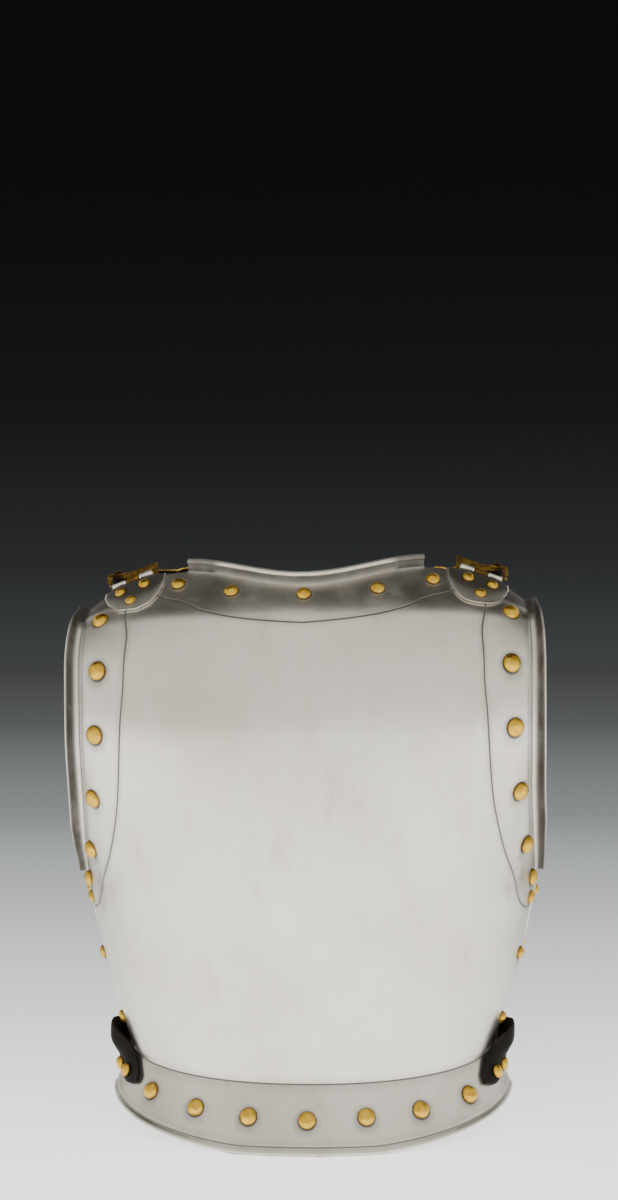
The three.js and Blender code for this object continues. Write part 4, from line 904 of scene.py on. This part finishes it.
def rounded(count, width, edge):
    """Widths across a strap in evenly spaced rows, and how far each is rounded down near its edges."""
    inner = np.linspace(-1, 1, count)
    widths = inner * (width / 2)
    down = edge * np.maximum(0, (np.abs(inner) - 0.86) / 0.14) ** 2
    return widths, down


def strap_layer(way, distances, width, low, high, edge=0.5, count=17):
    widths, down = rounded(count, width, edge)
    top = way.grid(distances, lambda i: widths, lambda i, j: high - down[j])
    bottom = way.grid(distances, lambda i: widths, lambda i, j: low + down[j] * 0.5)
    return sheet(top, bottom)[:2]


def strap_scales(way, start, stop):
    """Overlapping round-ended brass scales, each with a raised crown."""
    parts = []
    pitch = (stop - start) / SCALE_COUNT
    widths = np.linspace(-0.5, 0.5, 25)
    for k in range(SCALE_COUNT):
        first = start + k * pitch
        steps = np.linspace(0, 1, 9)
        nose = 1 - (2 * np.abs(widths)) ** 2.6 * 0.45
        top, low = [], []
        for s in steps:
            top_row, low_row = [], []
            for w, reach in zip(widths, nose):
                length = (0.62 + 0.38 * reach) if s > 0.5 else 0.86
                distance = first + GAP + pitch * (s * SCALE_OVERLAP * length)
                distance = min(distance, stop - 0.2)
                point, side, out = way.at(distance)
                crown = (1 - (2 * abs(w)) ** 2.4 * 0.55)
                rise = GAP + 0.35 + (SCALE_RISE - 0.35) * crown * (0.30 + 0.70 * s)
                edge_drop = 0.5 * max(0, (s - 0.85) / 0.15) ** 2
                top_row.append(point + side * w * SCALE_WIDTH + out * (rise - edge_drop))
                low_row.append(point + side * w * SCALE_WIDTH + out * max(rise - edge_drop - 0.9, GAP))
            top.append(top_row)
            low.append(low_row)
        parts.append(sheet(np.array(top), np.array(low))[:2])
    return merged(parts)


def end_plate(way, start):
    """Pointed brass plate with a raised rim; the stud stands through it."""
    distances = np.linspace(start, way.length, 25)
    inner = np.linspace(-1, 1, 21)

    def widths_at(i):
        share = i / (len(distances) - 1)
        taper = 1 - 0.4 * max(0, (share - 0.7) / 0.3) ** 1.6
        return inner * SCALE_WIDTH / 2 * taper

    def lift_at(i, j):
        share = i / (len(distances) - 1)
        to_edge = min(1 - abs(inner[j]), 1.6 * share, 1.6 * (1 - share))
        bead = 0.5 * np.exp(-((to_edge - 0.12) / 0.06) ** 2)
        return GAP + LEAF_THICK - 0.5 * max(0, 1 - to_edge / 0.05) ** 2 + bead

    top = way.grid(distances, widths_at, lift_at)
    return sheet(top, way.grid(distances, widths_at, lambda i, j: GAP))[:2]


for name, end in SIDES:
    way = StrapWay(end)
    plate_start = way.length - END_PLATE_LENGTH
    verts, faces, darkening = shoulder_plate(name, end)
    shield = to_mesh(f"{name}_shoulder_shield", verts, faces, STEEL_SLOT, SHIELD_STEEL, {"darkening": darkening})
    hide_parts(f"{name}_shoulder_plate")
    heads = []
    for place, cover in PLATE_RIVETS:
        point, _, _, out = body_frame(BACK, end * plate_across(place), 1 - PLATE_COVER * cover)
        heads.append(rivet(point + out * (PLATE_SEAT + PLATE_THICK - 0.1), out, PLATE_RIVET_DIA, rng))
    to_mesh(f"{name}_shield_rivets", *merged(heads), BRASS_SLOT, BRASS, sharp=50)
    pin = to_mesh(f"{name}_hinge_pin_bar", *rod(along_hinge(end, -0.02), along_hinge(end, 1.02), PIN_DIA),
                  BRASS_SLOT, SHEET_BRASS)
    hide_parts(f"{name}_hinge_pin")
    leaf_rows = np.linspace(KNUCKLE_DIA / 2 + 1.2, LEAF_LENGTH, 8)
    tongue = HINGE_LENGTH * 0.31 - 2 * GAP
    hinge_parts = [strap_layer(way, leaf_rows, LEAF_WIDTH, GAP, GAP + LEAF_THICK),
                   strap_layer(way, np.linspace(0, leaf_rows[0], 4), tongue, GAP, GAP + LEAF_THICK, 0.1, 5),
                   rod(along_hinge(end, 0.345), along_hinge(end, 0.655), KNUCKLE_DIA)]
    for w in (-0.3, 0.3):
        point, side, out = way.at(LEAF_LENGTH * 0.62)
        foot = point + side * w * LEAF_WIDTH + out * (GAP + LEAF_THICK)
        hinge_parts.append(rivet(foot, out, 6, rng, 0.2))
    hinge = to_mesh(f"{name}_hinge_leaf", *merged(hinge_parts), BRASS_SLOT, BROWNED_BRASS)
    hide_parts(f"{name}_strap_hinge")
    leather_rows = np.linspace(7, plate_start + END_PLATE_OVERLAP, 60)
    leather = strap_layer(way, leather_rows, STRAP_WIDTH, -STRAP_THICK, 0, 0.8)
    strap = to_mesh(f"{name}_strap_leather", *leather, LEATHER_SLOT, LEATHER)
    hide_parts(f"{name}_shoulder_strap")
    overlapping = strap_scales(way, LEAF_LENGTH + 3 * GAP, plate_start - 3 * GAP)
    scales = to_mesh(f"{name}_brass_scales", *overlapping, BRASS_SLOT, SHEET_BRASS)
    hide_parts(f"{name}_strap_scales")
    plate = to_mesh(f"{name}_end_plate_brass", *end_plate(way, plate_start), BRASS_SLOT, SHEET_BRASS)
    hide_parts(f"{name}_strap_end_plate")
    point, _, out = way.at(way.length - STUD_INSET)
    seat = point + out * (2 * GAP + LEAF_THICK)
    neck = rod(point - out * (STRAP_THICK - GAP), seat + out * GAP, STUD_NECK)
    stud_parts = [neck, rivet(seat, out, STUD_DIA, rng)]
    stud = to_mesh(f"{name}_stud_brass", *merged(stud_parts), BRASS_SLOT, BRASS, sharp=50)
    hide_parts(f"{name}_strap_stud")


# Belt
def edge_point(plate, across, height):
    if height >= 0:
        return body(plate, across, level_at(plate, height))
    fall = -height / SKIRT_DROP
    return skirt_point(plate, np.array(float(across)), fall, np.array(skirt_outer(fall)))


def belt_section(plate, across, top=BELT_ABOVE, bottom=BELT_ABOVE - 1):
    low, high = edge_point(plate, across, bottom * BELT_WIDTH), edge_point(plate, across, top * BELT_WIDTH)
    _, side, _, _ = body_frame(plate, across, 0.0)
    out = unit(np.cross(side, high - low))
    middle = (low + high) / 2
    if out[:2] @ middle[:2] < 0:
        out = -out
    return low, high, out, side * (1 if side[0] > 0 else -1)


def belt_half(end, places):
    """One half of the belt, from its tab on the backplate to its end on the breastplate."""
    rows = []
    for across, top, bottom, share in reversed(BELT_TAB):
        low, high, out, _ = belt_section(BACK, end * across, top, bottom)
        rows.append(np.concatenate([low, high, out, [share * BELT_LIFT]]))
    for across, lift in places:
        low, high, out, _ = belt_section(BREAST, across)
        rows.append(np.concatenate([low, high, out, [lift]]))
    rows = np.array(rows)
    legs = np.linalg.norm(np.diff((rows[:, :3] + rows[:, 3:6]) / 2, axis=0), axis=1)
    step = np.concatenate([[0], np.cumsum(legs)])
    dense = smooth_table(np.column_stack([step, rows]), np.linspace(0, step[-1], int(step[-1] / 2.2)))
    travelled = np.linspace(0, step[-1], len(dense))
    shares = np.linspace(0, 1, 17)
    round_off = np.maximum(0, (np.abs(shares * 2 - 1) - 0.84) / 0.16) ** 2
    nose = 16.0
    start_cut = np.sqrt(np.clip(1 - np.clip(1 - travelled / nose, 0, 1) ** 2, 0.02, 1)) * 0.5 + 0.5
    finish_cut = np.sqrt(np.clip(1 - np.clip(1 - travelled[::-1] / nose, 0, 1) ** 2, 0.02, 1)) * 0.5 + 0.5
    shrink = np.minimum(start_cut, finish_cut)
    outer, inner = [], []
    flap = step[FLAP_ROW]
    for k, (row, narrow) in enumerate(zip(dense, shrink)):
        low, high, out = row[:3], row[3:6], unit(row[6:9])
        stand = FLAP_LIFT * np.exp(-((travelled[k] - flap) / FLAP_SPREAD) ** 2)
        t = np.clip((shares - 0.22) / 0.5, 0, 1)
        lift = row[9] + stand * t * t * (3 - 2 * t)
        middle, reach = (low + high) / 2, (high - low) / 2 * narrow
        wave = 0.35 * sin(travelled[k] * 0.11 + 1.3 * end) * np.cos(shares * pi * 1.3 + travelled[k] * 0.05)
        base = middle + (shares[:, None] * 2 - 1) * reach
        outer.append(base + out * (lift + BELT_THICK - 0.7 * round_off + np.minimum(wave, 0.2))[:, None])
        inner.append(base + out * (lift + 0.35 * round_off + np.minimum(wave, 0))[:, None])
    return sheet(np.array(outer), np.array(inner))[:2]


overlap_lift = BELT_LIFT + BELT_THICK + GAP
bar_lift = overlap_lift + BUCKLE_BAR / 2
over_bar = bar_lift + BUCKLE_BAR / 2 + GAP
right_places = [(a, BELT_LIFT) for a in (*BELT_ON_BREAST, *SHORT_END)]
left_places = [(-a, BELT_LIFT) for a in BELT_ON_BREAST] + [(a, BELT_LIFT) for a in UNDER_BUCKLE]
left_places += [(a, over_bar) for a in OVER_PIVOT] + [(a, overlap_lift) for a in LONG_END]
for name, end, places in (("left", -1, left_places), ("right", 1, right_places)):
    belt = to_mesh(f"{name}_belt_leather", *belt_half(end, places), LEATHER_SLOT, LEATHER, sharp=50)
    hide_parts(f"{name}_belt_strap")


def loop_bar(corners, dia, sides=16, turn=6):
    """Round bar bent into a closed loop through rounded corners."""
    path = []
    count = len(corners)
    for k in range(count):
        here, before, after = corners[k], corners[k - 1], corners[(k + 1) % count]
        cut = 0.22 * min(np.linalg.norm(before - here), np.linalg.norm(after - here))
        a, b = here + unit(before - here) * cut, here + unit(after - here) * cut
        for t in np.linspace(0, 1, turn):
            path.append((1 - t) ** 2 * a + 2 * t * (1 - t) * here + t * t * b)
    path = np.array(path)
    normal = unit(np.cross(corners[1] - corners[0], corners[2] - corners[1]))
    rings = []
    for k in range(len(path)):
        tangent = unit(path[(k + 1) % len(path)] - path[k - 1])
        side = unit(np.cross(normal, tangent))
        rings.append([path[k] + (side * cos(a) + normal * sin(a)) * dia / 2
                      for a in np.linspace(0, 2 * pi, sides, endpoint=False)])
    verts = np.array(rings).reshape(-1, 3)
    faces = []
    for i in range(len(path)):
        for j in range(sides):
            n = (i + 1) % len(path)
            m = (j + 1) % sides
            faces.append((i * sides + j, i * sides + m, n * sides + m, n * sides + j))
    if signed_volume(verts, faces) < 0:
        faces = [f[::-1] for f in faces]
    return verts, faces


def bar_point(section):
    return (section[0] + section[1]) / 2 + section[2] * bar_lift


pivot_section, outer_section = belt_section(BREAST, PIVOT_BAR), belt_section(BREAST, OUTER_BAR)
pivot, outer_bar = bar_point(pivot_section), bar_point(outer_section)
buckle_u = unit(pivot - outer_bar)
buckle_w = pivot_section[1] - pivot_section[0]
buckle_height = float(np.linalg.norm(buckle_w)) + 2 * BUCKLE_ROOM + BUCKLE_BAR
buckle_w = unit(buckle_w - buckle_u * (buckle_w @ buckle_u))
buckle_out = np.cross(buckle_u, buckle_w)
buckle_out = buckle_out * (1 if buckle_out[1] > 0 else -1)
corners = [outer_bar - buckle_w * buckle_height / 2, pivot - buckle_w * buckle_height / 2,
           pivot + buckle_w * buckle_height / 2, outer_bar + buckle_w * buckle_height / 2]
buckle = to_mesh("buckle_frame_brass", *loop_bar(corners, BUCKLE_BAR), BRASS_SLOT, SHEET_BRASS)
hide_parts("buckle_frame")
prong_from = pivot - buckle_u * (BUCKLE_BAR / 2 + GAP)
prong_to = outer_bar - buckle_u * BUCKLE_BAR / 2 + buckle_out * (BUCKLE_BAR / 2 + PRONG_DIA / 2 + 4 * GAP)
prong = to_mesh("buckle_prong_brass", *rod(prong_from, prong_to, PRONG_DIA), BRASS_SLOT, SHEET_BRASS)
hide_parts("buckle_prong")

low, high, out, side = belt_section(BREAST, KEEPER)
keeper_up = unit(high - low)
keeper_half = float(np.linalg.norm(high - low)) / 2 + 1.5 * GAP + KEEPER_WALL / 2
keeper_in = BELT_LIFT - 3 * GAP - KEEPER_WALL / 2
keeper_out = overlap_lift + BELT_THICK + GAP + KEEPER_WALL / 2
middle = (low + high) / 2
ring = [middle + keeper_up * a * keeper_half + out * h
        for a, h in ((-1, keeper_in), (1, keeper_in), (1, keeper_out), (-1, keeper_out))]
steps = np.linspace(-0.5, 0.5, 7) * KEEPER_WIDTH
grow = KEEPER_WALL / 2
loop = []
for k in range(4):
    here, before, after = ring[k], ring[k - 1], ring[(k + 1) % 4]
    for t in np.linspace(0, 1, 5):
        a, b = here + unit(before - here) * 1.4, here + unit(after - here) * 1.4
        loop.append((1 - t) ** 2 * a + 2 * t * (1 - t) * here + t * t * b)
loop = np.array(loop + loop[:1])
centre = (ring[0] + ring[2]) / 2
away = unit(loop - centre)
keeper_outer = np.array([loop + away * grow + side * s for s in steps])
keeper_inner = np.array([loop - away * grow + side * s for s in steps])
verts, faces, _ = sheet(keeper_outer, keeper_inner)
keeper = to_mesh("belt_keeper_leather", verts, faces, LEATHER_SLOT, LEATHER)
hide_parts("belt_keeper")

# Tones of the stage and strengths of its light
FLOOR_TINT = (0.90, 0.97, 1.0)
FRONT_GLOW = (1.75, 2.0)
REAR_GLOW = 1.5
SIDE_GLOW = 0.9
TOP_GLOW = 1.35
GAP_PLACE, GAP_SHARE = 0.08, 0.55
TABLE_GLOW = 1.75
BACKDROP_TONES = [
    (-0.32, 0.10), (-0.165, 0.062), (-0.14, 0.031), (-0.10, 0.013), (-0.05, 0.007), (0.05, 0.005)]

# Stage: a pale light table with a painted falloff of light, darkening towards the back, where it meets a
# backdrop of the same tone
FLOOR_HALF_WIDTH, FLOOR_FRONT, FLOOR_BACK = 3.2, -4.0, 2.2
FLOOR_TONES = [
    (-0.2, 0.92), (0.05, 0.78), (0.35, 0.50), (0.72, 0.29), (1.18, 0.115), (1.75, 0.036), (2.2, 0.0125)]
floor_mesh = bpy.data.meshes.new("floor")
floor_mesh.from_pydata([
    (-FLOOR_HALF_WIDTH, FLOOR_FRONT, 0), (FLOOR_HALF_WIDTH, FLOOR_FRONT, 0),
    (FLOOR_HALF_WIDTH, FLOOR_BACK, 0), (-FLOOR_HALF_WIDTH, FLOOR_BACK, 0)], [], [[0, 1, 2, 3]])
floor = bpy.data.objects.new("floor", floor_mesh)
bpy.context.scene.collection.objects.link(floor)
floor_mat, tree, shader = new_material("pale_floor")
place = add(tree, "ShaderNodeTexCoord").outputs["Object"]
depth = add(tree, "ShaderNodeSeparateXYZ", {0: place}).outputs["Y"]


def tone_ramp(tree, value, rows, tint):
    """Grey tones along a value, as rows of value and linear tone."""
    low, high = rows[0][0], rows[-1][0]
    share = add(tree, "ShaderNodeMapRange", {"Value": value, "From Min": low, "From Max": high})
    node = add(tree, "ShaderNodeValToRGB", {"Fac": share.outputs["Result"]})
    elements = node.color_ramp.elements
    while len(elements) < len(rows):
        elements.new(0.5)
    for element, (at, tone) in zip(elements, rows):
        element.position = (at - low) / (high - low)
        element.color = (*(tone * (1 - (1 - t) * (1 - tone)) for t in tint), 1)
    return node.outputs["Color"]


tone = tone_ramp(tree, depth, FLOOR_TONES, FLOOR_TINT)
tree.links.new(tone, shader.inputs["Base Color"])
tree.links.new(tone, shader.inputs["Emission Color"])
shader.inputs["Emission Strength"].default_value = TABLE_GLOW
shader.inputs["Roughness"].default_value = 0.7
shader.inputs["Specular IOR Level"].default_value = 0.15
floor_mesh.materials.append(floor_mat)

# Light: a soft studio dome, bright before, behind and above the object and low at its sides
world = bpy.data.worlds.new("studio")
bpy.context.scene.world = world
world.use_nodes = True
tree = world.node_tree
direction = add(tree, "ShaderNodeTexCoord").outputs["Generated"]
parts = add(tree, "ShaderNodeSeparateXYZ", {0: direction})
height, ahead_y, aside = parts.outputs["Z"], parts.outputs["Y"], parts.outputs["X"]
front = math(tree, "MULTIPLY", ramp(tree, ahead_y, -0.75, -0.15, 1, 0), ramp(tree, height, 0.62, 1.0, 1, 0.06))
rear = math(tree, "MULTIPLY", ramp(tree, ahead_y, 0.15, 0.75), ramp(tree, height, 0.06, 0.30))
rear = math(tree, "MULTIPLY", rear, ramp(tree, height, 0.34, 0.60, 1, 0.0))
panels = math(tree, "MULTIPLY", front, ramp(tree, aside, -0.8, 0.8, *FRONT_GLOW))
from_gap = math(tree, "ABSOLUTE", math(tree, "SUBTRACT", aside, GAP_PLACE))
glow = math(tree, "MULTIPLY", panels, ramp(tree, from_gap, 0.02, 0.30, GAP_SHARE, 1))
glow = math(tree, "ADD", glow, math(tree, "MULTIPLY", rear, REAR_GLOW))
overhead = math(tree, "MULTIPLY", ramp(tree, ahead_y, -0.22, 0.12, 1, 0), ramp(tree, height, 0.55, 0.80))
glow = math(tree, "ADD", glow, math(tree, "MULTIPLY", overhead, TOP_GLOW))
to_side = math(tree, "ABSOLUTE", aside)
low_sides = math(tree, "MULTIPLY", ramp(tree, to_side, 0.55, 0.85), ramp(tree, height, 0.40, 0.75, 1, 0))
glow = math(tree, "ADD", glow, math(tree, "MULTIPLY", low_sides, SIDE_GLOW))
backdrop = tone_ramp(tree, height, BACKDROP_TONES, FLOOR_TINT)
warm = mix(tree, glow, (0, 0, 0), (1.0, 0.985, 0.955))
total = add(tree, "ShaderNodeMix", {"Factor": 1.0}, data_type="RGBA", blend_type="ADD")
colours = [k for k in total.inputs if k.type == "RGBA"]
tree.links.new(backdrop, colours[0])
tree.links.new(warm, colours[1])
background = tree.nodes["Background"]
tree.links.new(next(k for k in total.outputs if k.type == "RGBA"), background.inputs["Color"])
background.inputs["Strength"].default_value = 1.0

# Camera: the photograph's own place, in the plates' frame
FOCAL_PX, PHOTO_HEIGHT, SENSOR = 3761, 1200, 36
CAMERA_DISTANCE, CAMERA_HEIGHT = 3000, 880
CAMERA_AZIMUTH, CAMERA_PITCH, CAMERA_ROLL = radians(2.8), radians(8.57), radians(-0.53)
right = np.array([cos(CAMERA_AZIMUTH), sin(CAMERA_AZIMUTH), 0])
level_ahead = np.array([-sin(CAMERA_AZIMUTH), cos(CAMERA_AZIMUTH), 0])
up = np.array([0, 0, 1])
ahead = level_ahead * cos(CAMERA_PITCH) - up * sin(CAMERA_PITCH)
above = level_ahead * sin(CAMERA_PITCH) + up * cos(CAMERA_PITCH)
camera_x = right * cos(CAMERA_ROLL) + above * sin(CAMERA_ROLL)
camera_y = above * cos(CAMERA_ROLL) - right * sin(CAMERA_ROLL)
place = (-level_ahead * CAMERA_DISTANCE + up * CAMERA_HEIGHT + OFFSET) * MM
camera_data = bpy.data.cameras.new("camera")
camera_data.sensor_fit = "VERTICAL"
camera_data.sensor_height = SENSOR
camera_data.lens = FOCAL_PX / PHOTO_HEIGHT * SENSOR
camera = bpy.data.objects.new("camera", camera_data)
camera.matrix_world = Matrix((
    (camera_x[0], camera_y[0], -ahead[0], place[0]),
    (camera_x[1], camera_y[1], -ahead[1], place[1]),
    (camera_x[2], camera_y[2], -ahead[2], place[2]),
    (0, 0, 0, 1),
))
bpy.context.scene.collection.objects.link(camera)
bpy.context.scene.camera = camera
